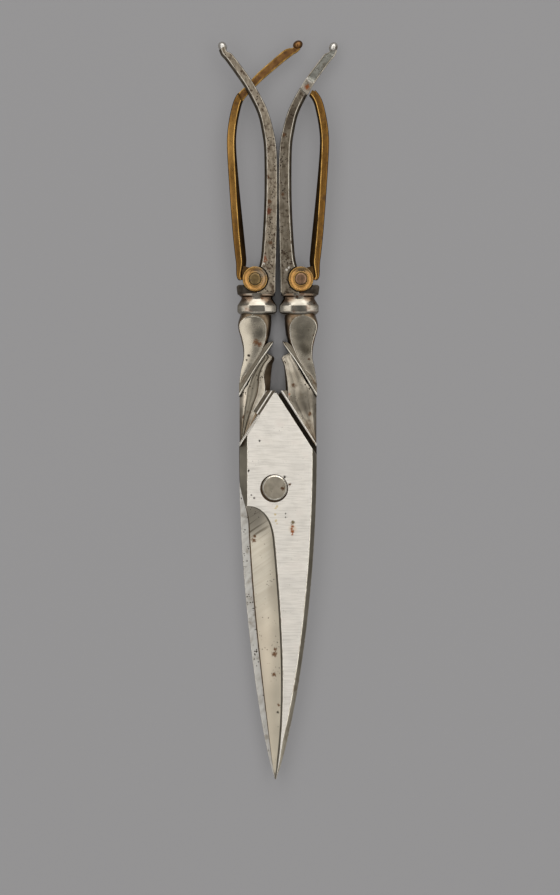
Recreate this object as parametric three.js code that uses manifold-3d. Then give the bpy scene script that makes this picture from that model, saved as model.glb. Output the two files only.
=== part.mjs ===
// Folding scissors of steel and brass, lying flat. Each steel half is one forging: blade, plate,
// carved shank, collar and one arm of its finger bow. A brass arm, hinged on the collar, closes
// each bow and swings outwards until its hook meets the hook of the steel arm.
// Millimetres. The pivot axis is x = 0, y = 0, the handles point to +Y and the table is z = 0.
import * as THREE from 'three';
import { mergeVertices } from 'three/addons/utils/BufferGeometryUtils.js';
import Module from 'manifold-3d';

// Blades and plates
const BLADE_REACH = 78.7;
const PLATE_THICK = 3.4;
const POINT_THICK = 1.1;
const POINT_HALF_WIDTH = 0.2;
const RICASSO_HALF_WIDTH = 10.45;
const PARTING_GAP = 0.2;
const PIVOT_OFFSET = 0.86;
const POINT_OFFSET = 0.68;
const SPINE_BEVEL = 1.2;
const SPINE_BEVEL_DROP = 1.1;
const RICASSO_BEVEL = 2.2;
const RICASSO_BEVEL_DROP = 1.6;
const EDGE_INSET = 2.0;
const EDGE_THICK = 0.35;
const EDGE_START = 2.5;
const EDGE_FULL = -9.5;
const HOLLOW_TOP = -4.9;
const HOLLOW_ARCH = 10.5;
const HOLLOW_WALL = 0.55;
const HOLLOW_TOP_STEP = 0.25;
const HOLLOW_SAG = 0.35;
const HOLLOW_SHARE_AT_FOOT = 0.29;
const HOLLOW_SHARE_AT_POINT = 0.69;
const GABLE_APEX = 25.5;
const GABLE_FOOT = 8.8;
const GABLE_APEX_OFFSET = 0.3;
const SHOULDER_GAP = 1.1;

// Pivot rivet
const RIVET_HEAD_RADIUS = 3.4;
const RIVET_SHANK_RADIUS = 2.2;
const RIVET_HEAD_RISE = 0.5;
const RIVET_HEAD_SINK = 0.5;
const RIVET_CHAMFER = 0.25;
const RECESS_CLEARANCE = 0.35;

// Carved shanks
const HANDLE_HALF_WIDTH = 10.35;
const LEAF_HALF_DEPTH = 3.85;
const FLUTE_DEPTH = 0.65;
const STEP_HALF_DEPTH = 3.75;
const STEP_WIDTH = 2.2;
const STEP_CHAMFER = 0.8;
const BAND_HALF_DEPTH = 3.8;
const BAND_FALL = 0.6;
const TEARDROP_HALF_DEPTH = 3.35;
const TEARDROP_LENGTH = 17.5;
const BAND_HALF_WIDTH = 0.75;
const LEAF_TIP_DROP = 1.7;

// Collars
const COLLAR_X = 5.65;
const COLLAR_GAP = 0.7;
const COLLAR_Y = 48.2;
const COLLAR_HALF_WIDTH = 5.3;
const COLLAR_LENGTH = 5.9;

// Bow hinges
const HINGE_X = 6.2;
const HINGE_RISE = 8.05;
const WASHER_RADIUS = 3.35;
const WASHER_THICK = 0.6;
const WASHER_RIM = 0.45;
const WASHER_DISH = 0.18;
const TONGUE_THICK = 1.4;
const CHEEK_THICK = 0.7;
const HINGE_RIVET_RADIUS = 1.1;
const HINGE_HEAD_RADIUS = 1.55;
const HINGE_HEAD_SINK = 0.3;
const HINGE_HEAD_CROWN = 0.12;
const LAYER_GAP = 0.12;
const PIN_CLEARANCE = 0.08;
const SEAT_CLEARANCE = 0.35;
const ARM_SWING_DEGREES = 15;

// Finger bows
const BOW_RISE = 62.7;
const BOW_REACH = 8.75;
const ARM_GAP = 0.905;
const BLOCK_RISE = 7;
const ARM_HALF_DEPTH = 2.0;
const LAP_GAP = 0.3;
const LAP_STOP_GAP = 0.3;
const LAP_STEP_GAP = 1.3;
const STEEL_ARM_HALF_WIDTH = 1.6;
const BRASS_ARM_HALF_WIDTH = 1.5;
const HOOK_BALL_RADIUS = 1.25;
const WIDE_CHAMFER = 0.9;
const BRASS_CHAMFER = 0.45;
const STEEL_CHAMFER = 0.35;
const HEEL_HALF_WIDTH = 0.4;
const HEEL_DROP = 0.2;
const BREAK_DEPTH = 0.9;

const partingHalf = PARTING_GAP / 2;
const plateFace = partingHalf + PLATE_THICK;
const restHalfDepth = plateFace + RIVET_HEAD_RISE;
const bladeLength = BLADE_REACH + GABLE_FOOT;
const collarBulgeShare = 0.29;
const collarTop = COLLAR_Y + (1 - collarBulgeShare) * COLLAR_LENGTH;
const collarBottom = COLLAR_Y - collarBulgeShare * COLLAR_LENGTH;
const hingeY = COLLAR_Y + HINGE_RISE;
const tongueHalf = TONGUE_THICK / 2;
const cheekInner = tongueHalf + LAYER_GAP;
const cheekOuter = cheekInner + CHEEK_THICK;
const washerInner = cheekOuter + LAYER_GAP;
const washerOuter = washerInner + WASHER_THICK;
const seatRadius = WASHER_RADIUS + SEAT_CLEARANCE;
const farAway = 60;

const wasm = await Module();
wasm.setup();

// A closed solid for joining and cutting, from a geometry whose shared corners are merged.
function solidFrom(geometry) {
  const bare = geometry.clone();
  bare.deleteAttribute('normal');
  bare.deleteAttribute('uv');
  const merged = mergeVertices(bare, 1e-4);
  return new wasm.Manifold(new wasm.Mesh({
    numProp: 3,
    vertProperties: new Float32Array(merged.attributes.position.array),
    triVerts: new Uint32Array(merged.index.array),
  }));
}

function geometryFrom(solid) {
  const mesh = solid.getMesh();
  const geometry = new THREE.BufferGeometry();
  geometry.setAttribute('position', new THREE.BufferAttribute(mesh.vertProperties, 3));
  geometry.setIndex(new THREE.BufferAttribute(mesh.triVerts, 1));
  geometry.computeVertexNormals();
  return geometry;
}

// A smooth curve through [position, value] stations in rising order.
function smooth(...stations) {
  const positions = stations.map(([at]) => at);
  const values = stations.map(([, value]) => value);
  const curve = new THREE.CubicInterpolant(positions, values, 1);
  return (position) => curve.evaluate(position)[0];
}

// A closed skin over outlines of equal point count, each set in space by place(point, row).
function loft(outlines, place) {
  const count = outlines[0].length;
  const corners = outlines.flatMap((outline, row) => outline.map((point) => place(point, row)));
  const triangles = [];
  for (let row = 0; row + 1 < outlines.length; row++) {
    for (let i = 0; i < count; i++) {
      const a = row * count + i;
      const b = row * count + ((i + 1) % count);
      triangles.push([a, b, b + count], [a, b + count, a + count]);
    }
  }
  const capOf = (outline) => THREE.ShapeUtils.triangulateShape(outline, []);
  const lastRow = (outlines.length - 1) * count;
  capOf(outlines[0]).forEach(([a, b, c]) => triangles.push([a, c, b]));
  capOf(outlines.at(-1)).forEach(([a, b, c]) => triangles.push([lastRow + a, lastRow + b, lastRow + c]));
  const volume = triangles.reduce((sum, [a, b, c]) =>
    sum + corners[a].dot(corners[b].clone().cross(corners[c])), 0);
  const index = triangles.flatMap(([a, b, c]) => (volume > 0 ? [a, b, c] : [a, c, b]));
  const geometry = new THREE.BufferGeometry();
  const positions = corners.flatMap((corner) => corner.toArray());
  geometry.setAttribute('position', new THREE.Float32BufferAttribute(positions, 3));
  geometry.setIndex(index);
  return solidFrom(geometry);
}

const point = (x, y) => new THREE.Vector2(x, y);

function prism(corners, bottom, top) {
  const shape = new THREE.Shape(corners);
  const geometry = new THREE.ExtrudeGeometry(shape, { depth: top - bottom, bevelEnabled: false });
  return solidFrom(geometry.translate(0, 0, bottom));
}

function disc(radius, bottom, top, x, y, sides = 32) {
  const geometry = new THREE.CylinderGeometry(radius, radius, top - bottom, sides);
  geometry.rotateX(Math.PI / 2);
  return solidFrom(geometry.translate(x, y, (top + bottom) / 2));
}

function ball(radius, x, y, z) {
  const geometry = new THREE.SphereGeometry(radius, 14, 8);
  return solidFrom(geometry.translate(x, y, z));
}

// A turned piece about the Z axis, from a profile of [radius, height] that starts and ends on it.
function turned(profile, sides = 28) {
  const geometry = new THREE.LatheGeometry(profile.map(([radius, z]) => point(radius, z)), sides);
  return geometry.rotateX(Math.PI / 2);
}

const pathThrough = (stations) =>
  new THREE.CatmullRomCurve3(stations.map(([x, y]) => new THREE.Vector3(x, y, 0)));

// A skin over outlines set square to a flat path, at even steps along it.
function alongPath(path, outlines) {
  const last = outlines.length - 1;
  return loft(outlines, (corner, row) => {
    const centre = path.getPoint(row / last);
    const along = path.getTangent(row / last);
    return new THREE.Vector3(centre.x - along.y * corner.x, centre.y + along.x * corner.x, corner.y);
  });
}

// A chamfered bar along a smooth path. Each station is [x, y, half width left, half width right],
// seen along the path. The chamfers are wide on the left and right edges as given.
function bar(stations, halfDepth, chamferLeft, chamferRight, rows) {
  const widths = new THREE.CatmullRomCurve3(
    stations.map(([, , left, right]) => new THREE.Vector3(left, right, 0)));
  const outlines = [];
  for (let row = 0; row <= rows; row++) {
    const { x: left, y: right } = widths.getPoint(row / rows);
    const cutLeft = Math.min(chamferLeft, 0.6 * left);
    const cutRight = Math.min(chamferRight, 0.6 * right);
    outlines.push([
      point(-right, cutRight - halfDepth), point(cutRight - right, -halfDepth),
      point(left - cutLeft, -halfDepth), point(left, cutLeft - halfDepth),
      point(left, halfDepth - cutLeft), point(left - cutLeft, halfDepth),
      point(cutRight - right, halfDepth), point(-right, halfDepth - cutRight),
    ]);
  }
  return alongPath(pathThrough(stations), outlines);
}

// Where the blade outline stands at a height y, with the handle on the left and the spine on the
// right. The lean is -1 or 1: which way, seen from this half, the point and the pivot lie.
function bladeOutline(y, lean) {
  const share = THREE.MathUtils.clamp((GABLE_FOOT - y) / bladeLength, 0, 1);
  const width = Math.max(RICASSO_HALF_WIDTH * (1 - share ** 1.9) ** 0.82, POINT_HALF_WIDTH);
  const centre = lean * POINT_OFFSET * share ** 3;
  const edgeGrowth = THREE.MathUtils.smoothstep(EDGE_START - y, 0, EDGE_START - EDGE_FULL);
  const inset = EDGE_INSET * edgeGrowth * (1 - share ** 6);
  const edge = centre - width + inset;
  const spine = centre + width;
  const thinning = THREE.MathUtils.clamp((HOLLOW_TOP - y) / (HOLLOW_TOP + BLADE_REACH), 0, 1);
  const face = partingHalf + THREE.MathUtils.lerp(PLATE_THICK, POINT_THICK, thinning);
  return { share, edge, spine, face };
}

function bladeBlank(lean) {
  const rows = 30;
  const heights = Array.from({ length: rows + 1 }, (_, row) => GABLE_FOOT - bladeLength * row / rows);
  const outlines = heights.map((y) => {
    const { edge, spine, face } = bladeOutline(y, lean);
    const bevelShare = Math.min(1, (spine - edge) / (4 * SPINE_BEVEL));
    return [
      point(edge, partingHalf), point(spine, partingHalf),
      point(spine, face - SPINE_BEVEL_DROP * bevelShare * face / plateFace),
      point(spine - SPINE_BEVEL * bevelShare, face), point(edge, face),
    ];
  });
  return loft(outlines, ({ x, y: z }, row) => new THREE.Vector3(x, heights[row], z));
}

// The long bevel down the edge side of the plate, which runs out where the cutting edge begins.
function ricassoBevelCut() {
  const inner = RICASSO_BEVEL - RICASSO_HALF_WIDTH;
  const slope = RICASSO_BEVEL_DROP / RICASSO_BEVEL;
  const over = 1;
  const wedge = [
    point(inner + over / slope, plateFace + over), point(inner - farAway, plateFace + over),
    point(inner - farAway, plateFace - farAway * slope),
  ];
  const ends = [GABLE_APEX, HOLLOW_TOP - HOLLOW_ARCH];
  return loft([wedge, wedge], ({ x, y: z }, row) => new THREE.Vector3(x, ends[row], z));
}

// The hollow grind: a long concave scoop from an arched top to the point.
function hollowCut(lean) {
  const archRows = 9;
  const bladeRows = 20;
  const archFoot = HOLLOW_TOP - HOLLOW_ARCH;
  const roundness = 2 / 2.6;
  const places = [];
  for (let row = 0; row <= archRows; row++) {
    const angle = Math.PI / 2 * (1 - 0.97 * row / archRows - 0.02);
    places.push({ y: archFoot + HOLLOW_ARCH * Math.sin(angle) ** roundness,
      reach: Math.cos(angle) ** roundness });
  }
  for (let row = 1; row <= bladeRows; row++) {
    places.push({ y: archFoot - (archFoot + BLADE_REACH) * row / bladeRows, reach: 1 });
  }
  const overhang = 3;
  const floorPoints = 6;
  const outlines = places.map(({ y, reach }) => {
    const { share, edge, spine, face } = bladeOutline(y, lean);
    const hollowShare = THREE.MathUtils.lerp(HOLLOW_SHARE_AT_FOOT, HOLLOW_SHARE_AT_POINT, share);
    const width = Math.max((spine - edge) * reach * hollowShare, 0.02);
    const runOut = THREE.MathUtils.smoothstep(HOLLOW_TOP - y, 0, HOLLOW_ARCH);
    const low = THREE.MathUtils.lerp(face - HOLLOW_TOP_STEP, partingHalf + EDGE_THICK, runOut);
    const wall = Math.min(HOLLOW_WALL, 0.4 * POINT_THICK);
    const high = face - THREE.MathUtils.lerp(HOLLOW_TOP_STEP, wall, runOut);
    const sag = HOLLOW_SAG * runOut * (1 - share);
    const outline = [point(edge - overhang, low)];
    for (let i = 0; i <= floorPoints; i++) {
      const across = i / floorPoints;
      const z = THREE.MathUtils.lerp(low, high, across) - 4 * sag * across * (1 - across);
      outline.push(point(edge + width * across, z));
    }
    outline.push(point(edge + width, plateFace + overhang), point(edge - overhang, plateFace + overhang));
    return outline;
  });
  return loft(outlines, ({ x, y: z }, row) => new THREE.Vector3(x, places[row].y, z));
}

// The straight edge of the plate's gable, and the other half's shoulder that faces it.
function gableAndShoulder() {
  const apex = point(-GABLE_APEX_OFFSET, GABLE_APEX);
  const foot = point(RICASSO_HALF_WIDTH, GABLE_FOOT);
  const along = foot.clone().sub(apex).normalize();
  const outward = point(-along.y, along.x);
  const mirrored = (corner) => point(-corner.x, corner.y);
  const shoulderTop = mirrored(apex.clone().addScaledVector(outward, SHOULDER_GAP));
  const shoulderFoot = mirrored(foot.clone().addScaledVector(outward, SHOULDER_GAP));
  return { apex, foot, shoulderTop, shoulderFoot, shoulderBack: mirrored(outward) };
}

function gablePlate() {
  const { apex, foot, shoulderTop, shoulderFoot } = gableAndShoulder();
  return prism([
    point(-RICASSO_HALF_WIDTH, GABLE_FOOT), foot, apex,
    point(shoulderTop.x - 0.6, shoulderTop.y),
    point(-RICASSO_HALF_WIDTH, shoulderFoot.y + 1),
  ], partingHalf, plateFace);
}

// The pointed band that wraps down across the shank from its inner tip to its outer side: shares of
// the handle's half width, of the teardrop's length below the collar, and of the band's half width.
const bandStations = [
  [0.121, 0.406, 0.16], [0.27, 0.491, 1], [0.483, 0.674, 0.87], [0.715, 0.88, 1], [1, 1.143, 1.33],
  [1.097, 1.234, 1.33],
].map(([across, drop, width]) => [
  -HANDLE_HALF_WIDTH * across, collarBottom - TEARDROP_LENGTH * drop, BAND_HALF_WIDTH * width,
]);

function band() {
  const path = pathThrough(bandStations);
  const widths = new THREE.CatmullRomCurve3(bandStations.map(([, , half]) => new THREE.Vector3(half, 0, 0)));
  const rows = 16;
  const low = BAND_HALF_DEPTH - BAND_FALL;
  const outlines = [];
  for (let row = 0; row <= rows; row++) {
    const half = widths.getPoint(row / rows).x;
    outlines.push([point(-half, -low), point(half, -BAND_HALF_DEPTH), point(half, BAND_HALF_DEPTH),
      point(-half, low)]);
  }
  const outside = prism([
    point(-HANDLE_HALF_WIDTH, 0), point(-HANDLE_HALF_WIDTH, 2 * COLLAR_Y),
    point(-farAway, 2 * COLLAR_Y), point(-farAway, 0),
  ], -farAway, farAway);
  return alongPath(path, outlines).subtract(outside);
}

// The long fluted leaf from the middle of the band to the shoulder, alike on front and back. Its
// curves are given by shares of its height and of the handle's half width.
function leaf() {
  const { shoulderTop, shoulderFoot, shoulderBack } = gableAndShoulder();
  const leafTip = bandStations[1][1] - LEAF_TIP_DROP;
  const heightAt = (share) => THREE.MathUtils.lerp(GABLE_FOOT, leafTip, share);
  const curve = (...stations) => smooth(...stations.map(([height, across]) =>
    [heightAt(height), -HANDLE_HALF_WIDTH * across]));
  const start = 0.036;
  const outer = smooth(...bandStations.map(([x, y]) => [y, x]).reverse());
  const inner = curve([start, 0.203], [0.646, 0.203], [0.883, 0.155], [0.971, 0.121], [1, 0.28]);
  const rim = curve([start, 0.966], [0.299, 0.734], [0.482, 0.522], [0.628, 0.348], [0.788, 0.367],
    [0.883, 0.29], [0.971, 0.169], [1, 0.3]);
  const rows = 22;
  const heights = Array.from({ length: rows + 1 }, (_, row) => heightAt(1 - (1 - start) * row / rows));
  const outlines = heights.map((y) => {
    const left = Math.max(outer(Math.max(y, bandStations.at(-1)[1])), -HANDLE_HALF_WIDTH);
    const ridge = Math.max(rim(y), left + 0.4);
    const right = Math.max(inner(y), ridge + 0.1);
    const width = ridge - left;
    const lip = LEAF_HALF_DEPTH - FLUTE_DEPTH;
    const upper = [
      point(right, 0.55 * LEAF_HALF_DEPTH), point(ridge, LEAF_HALF_DEPTH),
      point(left + 0.78 * width, lip + 0.1), point(left + 0.55 * width, lip),
      point(left + 0.32 * width, lip + 0.25), point(left + 0.12 * width, lip),
      point(left, 0.65 * LEAF_HALF_DEPTH),
    ];
    return [...upper, ...upper.map((corner) => point(corner.x, -corner.y)).reverse()];
  });
  const body = loft(outlines, ({ x, y: z }, row) => new THREE.Vector3(x, heights[row], z));
  const stepFoot = shoulderTop.clone().lerp(shoulderFoot, 0.4);
  const stepTop = (back) => point(shoulderTop.x - back / Math.abs(shoulderBack.x), shoulderTop.y);
  const stepAt = (back) => [
    stepTop(STEP_WIDTH), stepFoot.clone().addScaledVector(shoulderBack, STEP_WIDTH),
    stepFoot.clone().addScaledVector(shoulderBack, back), stepTop(back),
  ];
  const stepLevels = [-STEP_HALF_DEPTH, -plateFace, plateFace, STEP_HALF_DEPTH];
  const step = loft([stepAt(STEP_CHAMFER), stepAt(0), stepAt(0), stepAt(STEP_CHAMFER)],
    ({ x, y }, row) => new THREE.Vector3(x, y, stepLevels[row]));
  const beyond = prism([
    shoulderTop.clone().lerp(shoulderFoot, -1), shoulderTop.clone().lerp(shoulderFoot, 2),
    point(farAway, shoulderFoot.y - farAway), point(farAway, shoulderTop.y),
  ], -farAway, farAway);
  return body.add(step).subtract(beyond);
}

// The pear-shaped baluster under the collar, filed flat to a teardrop on front and back. Heights are
// shares of its length, from the foot of the collar.
function teardrop() {
  const centre = smooth([-1, -3.95], [-0.8, -2.45], [-0.657, -1.5], [-0.514, -0.85], [-0.371, -0.55],
    [-0.154, -0.65], [0.029, -0.25]);
  const widthShare = smooth([-1, 0.15], [-0.8, 0.33], [-0.657, 0.415], [-0.514, 0.557], [-0.371, 0.708],
    [-0.154, 0.85], [0.029, 0.774]);
  const swell = smooth([-1, 0.1], [-0.657, 0.25], [-0.371, 0.5], [-0.154, 0.6], [-0.069, 0.35],
    [-0.023, 0.05], [0.029, -0.4]);
  const squareness = smooth([-1, 3.6], [-0.2, 3.6], [-0.069, 2.6], [0.029, 2]);
  const rows = 18;
  const sides = 24;
  const overlap = 0.029;
  const shares = Array.from({ length: rows + 1 }, (_, row) => overlap - (1 + overlap) * row / rows);
  const heights = shares.map((share) => collarBottom + TEARDROP_LENGTH * share);
  const outlines = shares.map((share) => Array.from({ length: sides }, (_, side) => {
    const angle = 2 * Math.PI * side / sides;
    const power = 2 / squareness(share);
    const across = Math.sign(Math.cos(angle)) * Math.abs(Math.cos(angle)) ** power;
    const up = Math.sign(Math.sin(angle)) * Math.abs(Math.sin(angle)) ** power;
    return point(centre(share) - COLLAR_X + COLLAR_HALF_WIDTH * widthShare(share) * across,
      (TEARDROP_HALF_DEPTH + swell(share)) * up);
  }));
  const pear = loft(outlines, ({ x, y: z }, row) => new THREE.Vector3(x, heights[row], z));
  const slab = prism([
    point(-farAway, -farAway), point(farAway, -farAway), point(farAway, farAway), point(-farAway, farAway),
  ], -TEARDROP_HALF_DEPTH, TEARDROP_HALF_DEPTH);
  return pear.intersect(slab);
}

// The eight-sided collar: a top plate, a hollow neck and a broad faceted bulge. Its inner flank keeps
// half the gap from the middle line, and its outer flank stands at its own half width.
function collar() {
  const profile = [
    [1 - collarBulgeShare, 0.86], [0.68, 0.91], [0.58, 0.91], [0.5, 0.82], [0.4, 0.8], [0.29, 0.86],
    [0.2, 0.95], [0.13, 1], [-0.14, 1], [-0.21, 0.94], [-collarBulgeShare, 0.82],
  ];
  const facet = 0.44;
  const innerHalfWidth = COLLAR_X - COLLAR_GAP / 2;
  const outlines = profile.map(([, share]) => {
    const depth = restHalfDepth * share;
    const corners = [[1, -facet], [1, facet], [facet, 1], [-facet, 1], [-1, facet], [-1, -facet],
      [-facet, -1], [facet, -1]];
    return corners.map(([across, up]) => {
      const halfWidth = across > 0 ? innerHalfWidth : COLLAR_HALF_WIDTH;
      return point(across * share * halfWidth - COLLAR_X, up * depth);
    });
  });
  return loft(outlines, ({ x, y: z }, row) =>
    new THREE.Vector3(x, COLLAR_Y + COLLAR_LENGTH * profile[row][0], z));
}

// Places on a bow are shares of its reach and its rise. The steel arm, the crossing and the hooks are
// set from the middle line, where the two steel arms keep their gap, and the brass limb from its hinge.
const innermostShare = 0.474;
const bowX = ARM_GAP / 2 + STEEL_ARM_HALF_WIDTH + innermostShare * BOW_REACH;
const onBow = ([across, up], startX = bowX) => [across * BOW_REACH - startX, up * BOW_RISE + hingeY];
const crossingShares = [-0.16, 0.827];
const crossing = onBow(crossingShares);

const steelArmStations = [
  [0.417, 0.035, 1.19, 1.09], [0.423, 0.125, 1.14, 1.14], [0.451, 0.255, 1.03, 1.03],
  [innermostShare, 0.383, 1, 1], [0.457, 0.555, 0.97, 0.97], [0.377, 0.641, 0.94, 0.94],
  [0.206, 0.729, 0.875, 0.875],
  [...crossingShares, 0.81, 0.81], [-0.406, 0.88, 0.75, 0.75], [-0.709, 0.939, 0.66, 0.66],
  [-0.811, 0.959, 0.62, 0.56], [-0.903, 0.976, 0.62, 0.19], [-0.977, 0.992, 0.56, 0.31],
].map(([across, up, left, right]) =>
  [...onBow([across, up]), left * STEEL_ARM_HALF_WIDTH, right * STEEL_ARM_HALF_WIDTH]);
const steelHook = onBow([-1, 1]);
const steelHalfAtCrossing = 0.81 * STEEL_ARM_HALF_WIDTH;

const heelX = WASHER_RADIUS + HEEL_HALF_WIDTH + LAYER_GAP / 2;
const tailHalf = 0.7 * BRASS_ARM_HALF_WIDTH;
const brassArmStations = [
  [-HINGE_X - heelX, hingeY - HEEL_DROP, HEEL_HALF_WIDTH, HEEL_HALF_WIDTH],
  [-HINGE_X - heelX - 0.9 * HEEL_HALF_WIDTH, hingeY + 2.2 * HEEL_HALF_WIDTH, 2.1 * HEEL_HALF_WIDTH,
    2 * HEEL_HALF_WIDTH],
  ...[
    [-0.429, 0.069, 0.933, 0.933], [-0.457, 0.116, 1, 1], [-0.526, 0.212, 1, 1],
    [-0.634, 0.384, 0.907, 0.907], [-0.72, 0.557, 0.827, 0.827], [-0.703, 0.643, 0.813, 0.813],
    [-0.594, 0.729, 0.8, 0.8], [-0.457, 0.7815, 0.747, 0.747],
  ].map(([across, up, left, right]) =>
    [...onBow([across, up], HINGE_X), left * BRASS_ARM_HALF_WIDTH, right * BRASS_ARM_HALF_WIDTH]),
  ...[
    [...crossingShares, 0.7, 0.7], [0.153, 0.873, 0.7, 0.7],
    [0.77, 0.9475, 0.7, 0.7], [0.986, 0.9705, 0.7, 0.667], [1.109, 0.983, 0.567, 0.633],
    [1.2, 0.993, 0.233, 0.6], [1.291, 1.004, 0.333, 0.533],
  ].map(([across, up, left, right]) =>
    [...onBow([across, up]), left * BRASS_ARM_HALF_WIDTH, right * BRASS_ARM_HALF_WIDTH]),
];
const brassHook = onBow([1.32, 1.01]);

// The direction of an arm where the two cross, for the half laps that let them pass.
function directionAtCrossing(stations) {
  const at = stations.findIndex(([x, y]) => x === crossing[0] && y === crossing[1]);
  const [fromX, fromY] = stations[at - 1];
  const [toX, toY] = stations[at + 1];
  return point(toX - fromX, toY - fromY).normalize();
}
const steelAlong = directionAtCrossing(steelArmStations);
const brassAlong = directionAtCrossing(brassArmStations);

// All that lies past a line through the crossing, moved back by a distance, as a tall prism.
function pastCrossing(along, back, bottom, top) {
  const [x, y] = crossing;
  const forward = point(-along.y, along.x);
  const corner = (side, ahead) => point(x, y).addScaledVector(along, side).addScaledVector(forward, ahead);
  const reach = farAway / 3;
  return prism([corner(-reach, -back), corner(reach, -back), corner(reach, reach), corner(-reach, reach)],
    bottom, top);
}

function steelArm() {
  const rows = 34;
  const whole = bar(steelArmStations, ARM_HALF_DEPTH, WIDE_CHAMFER, STEEL_CHAMFER, rows);
  const lap = pastCrossing(brassAlong, tailHalf + LAP_STOP_GAP, -farAway, LAP_GAP / 2);
  const [x, y] = steelHook;
  return whole.subtract(lap).add(ball(HOOK_BALL_RADIUS, x, y, ARM_HALF_DEPTH - HOOK_BALL_RADIUS));
}

// The steel side of a bow: its arm, the block of its hinge and the shoulder that stops the brass arm.
function bowRoot() {
  const swing = THREE.MathUtils.degToRad(ARM_SWING_DEGREES);
  const [endX, endY, endHalf] = brassArmStations[0];
  const heel = point(endX - endHalf, endY).rotateAround(point(-HINGE_X, hingeY), swing);
  const shoulder = heel.y - LAP_STOP_GAP;
  const [limbX, , limbHalf] = brassArmStations[1];
  const outerEdge = limbX - limbHalf;
  const [armX, , armLeft, armRight] = steelArmStations[1];
  const blockTop = hingeY + BLOCK_RISE;
  const blockFoot = collarTop - 0.4;
  const outline = prism([
    point(armX + armRight, blockTop), point(armX - armLeft, blockTop),
    point(armX - armLeft - 0.3, hingeY + 0.8 * BLOCK_RISE), point(-HINGE_X + 0.6, hingeY + seatRadius + 0.1),
    point(-HINGE_X, hingeY), point(-HINGE_X, shoulder), point(outerEdge, shoulder),
    point(outerEdge, blockFoot), point(armX + armRight - 0.2, blockFoot),
  ], -ARM_HALF_DEPTH, ARM_HALF_DEPTH);
  return outline.add(steelArm());
}

// The round seats for the washers on both faces of a forging, and the hinge tongue between them.
function seatHinge(forging) {
  const frontSeat = disc(seatRadius, tongueHalf, farAway, -HINGE_X, hingeY);
  const rearSeat = disc(seatRadius, -farAway, -tongueHalf, -HINGE_X, hingeY);
  const tongue = disc(WASHER_RADIUS, -tongueHalf, tongueHalf, -HINGE_X, hingeY);
  return forging.subtract(frontSeat).subtract(rearSeat).add(tongue);
}

function bladeHalf(lean) {
  const pivotX = lean * PIVOT_OFFSET;
  const recessRadius = RIVET_HEAD_RADIUS + RECESS_CLEARANCE;
  const recess = disc(recessRadius, plateFace - RIVET_HEAD_SINK, farAway, pivotX, 0);
  const pivotHole = disc(RIVET_SHANK_RADIUS + PIN_CLEARANCE, -farAway, farAway, pivotX, 0);
  const hingeHole = disc(HINGE_RIVET_RADIUS + PIN_CLEARANCE, -farAway, farAway, -HINGE_X, hingeY);
  const blade = bladeBlank(lean).add(gablePlate()).subtract(ricassoBevelCut()).subtract(hollowCut(lean));
  const shank = leaf().add(teardrop()).add(band()).add(collar());
  const forging = seatHinge(blade.add(shank).add(bowRoot()));
  return geometryFrom(forging.subtract(recess).subtract(pivotHole).subtract(hingeHole));
}

// A brass arm: a fork of two round cheeks, a long limb and, if whole, a thin hooked tail.
function bowArm(tailIsWhole) {
  const rows = 48;
  const limb = bar(brassArmStations, ARM_HALF_DEPTH, BRASS_CHAMFER, WIDE_CHAMFER, rows);
  const cheek = disc(WASHER_RADIUS, -cheekOuter, cheekOuter, -HINGE_X, hingeY);
  const web = prism([
    point(-HINGE_X, hingeY - HEEL_DROP), point(-HINGE_X, hingeY + WASHER_RADIUS),
    point(-HINGE_X - heelX, hingeY + WASHER_RADIUS + 0.2), point(-HINGE_X - heelX, hingeY - HEEL_DROP),
  ], -cheekOuter, cheekOuter);
  const slot = disc(seatRadius, -cheekInner, cheekInner, -HINGE_X, hingeY);
  const hole = disc(HINGE_RIVET_RADIUS + PIN_CLEARANCE, -farAway, farAway, -HINGE_X, hingeY);
  const steelRight = steelAlong.clone().negate();
  const stepBack = steelHalfAtCrossing + LAP_STEP_GAP;
  const forked = limb.add(cheek).add(web).subtract(slot).subtract(hole);
  if (!tailIsWhole) {
    const [x, y] = crossing;
    const notch = point(x, y).addScaledVector(point(-steelRight.y, steelRight.x), -stepBack - BREAK_DEPTH);
    const split = prism([
      notch, notch.clone().add(point(2 * BREAK_DEPTH, 1.2 * BREAK_DEPTH)),
      notch.clone().add(point(0.1 * BREAK_DEPTH, 2.7 * BREAK_DEPTH)),
    ], -farAway, farAway);
    const lostTail = pastCrossing(steelRight, stepBack, -farAway, farAway);
    return geometryFrom(forked.subtract(lostTail).subtract(split));
  }
  const lap = pastCrossing(steelRight, stepBack, -LAP_GAP / 2, farAway);
  const [x, y] = brassHook;
  const hook = ball(HOOK_BALL_RADIUS, x, y, HOOK_BALL_RADIUS - ARM_HALF_DEPTH);
  return geometryFrom(forked.subtract(lap).add(hook));
}

// A brass washer with a raised rim, a dished face and a sunk seat for the rivet head.
function hingeWasher() {
  const hole = HINGE_RIVET_RADIUS + PIN_CLEARANCE;
  const seat = HINGE_HEAD_RADIUS + PIN_CLEARANCE;
  const seatFloor = washerOuter - HINGE_HEAD_SINK - LAYER_GAP;
  return turned([
    [hole, washerInner], [WASHER_RADIUS, washerInner], [WASHER_RADIUS, washerOuter],
    [WASHER_RADIUS - WASHER_RIM, washerOuter],
    [WASHER_RADIUS - 1.3 * WASHER_RIM, washerOuter - WASHER_DISH],
    [seat, washerOuter - 0.5 * WASHER_DISH], [seat, seatFloor], [hole, seatFloor], [hole, washerInner],
  ]);
}

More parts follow.
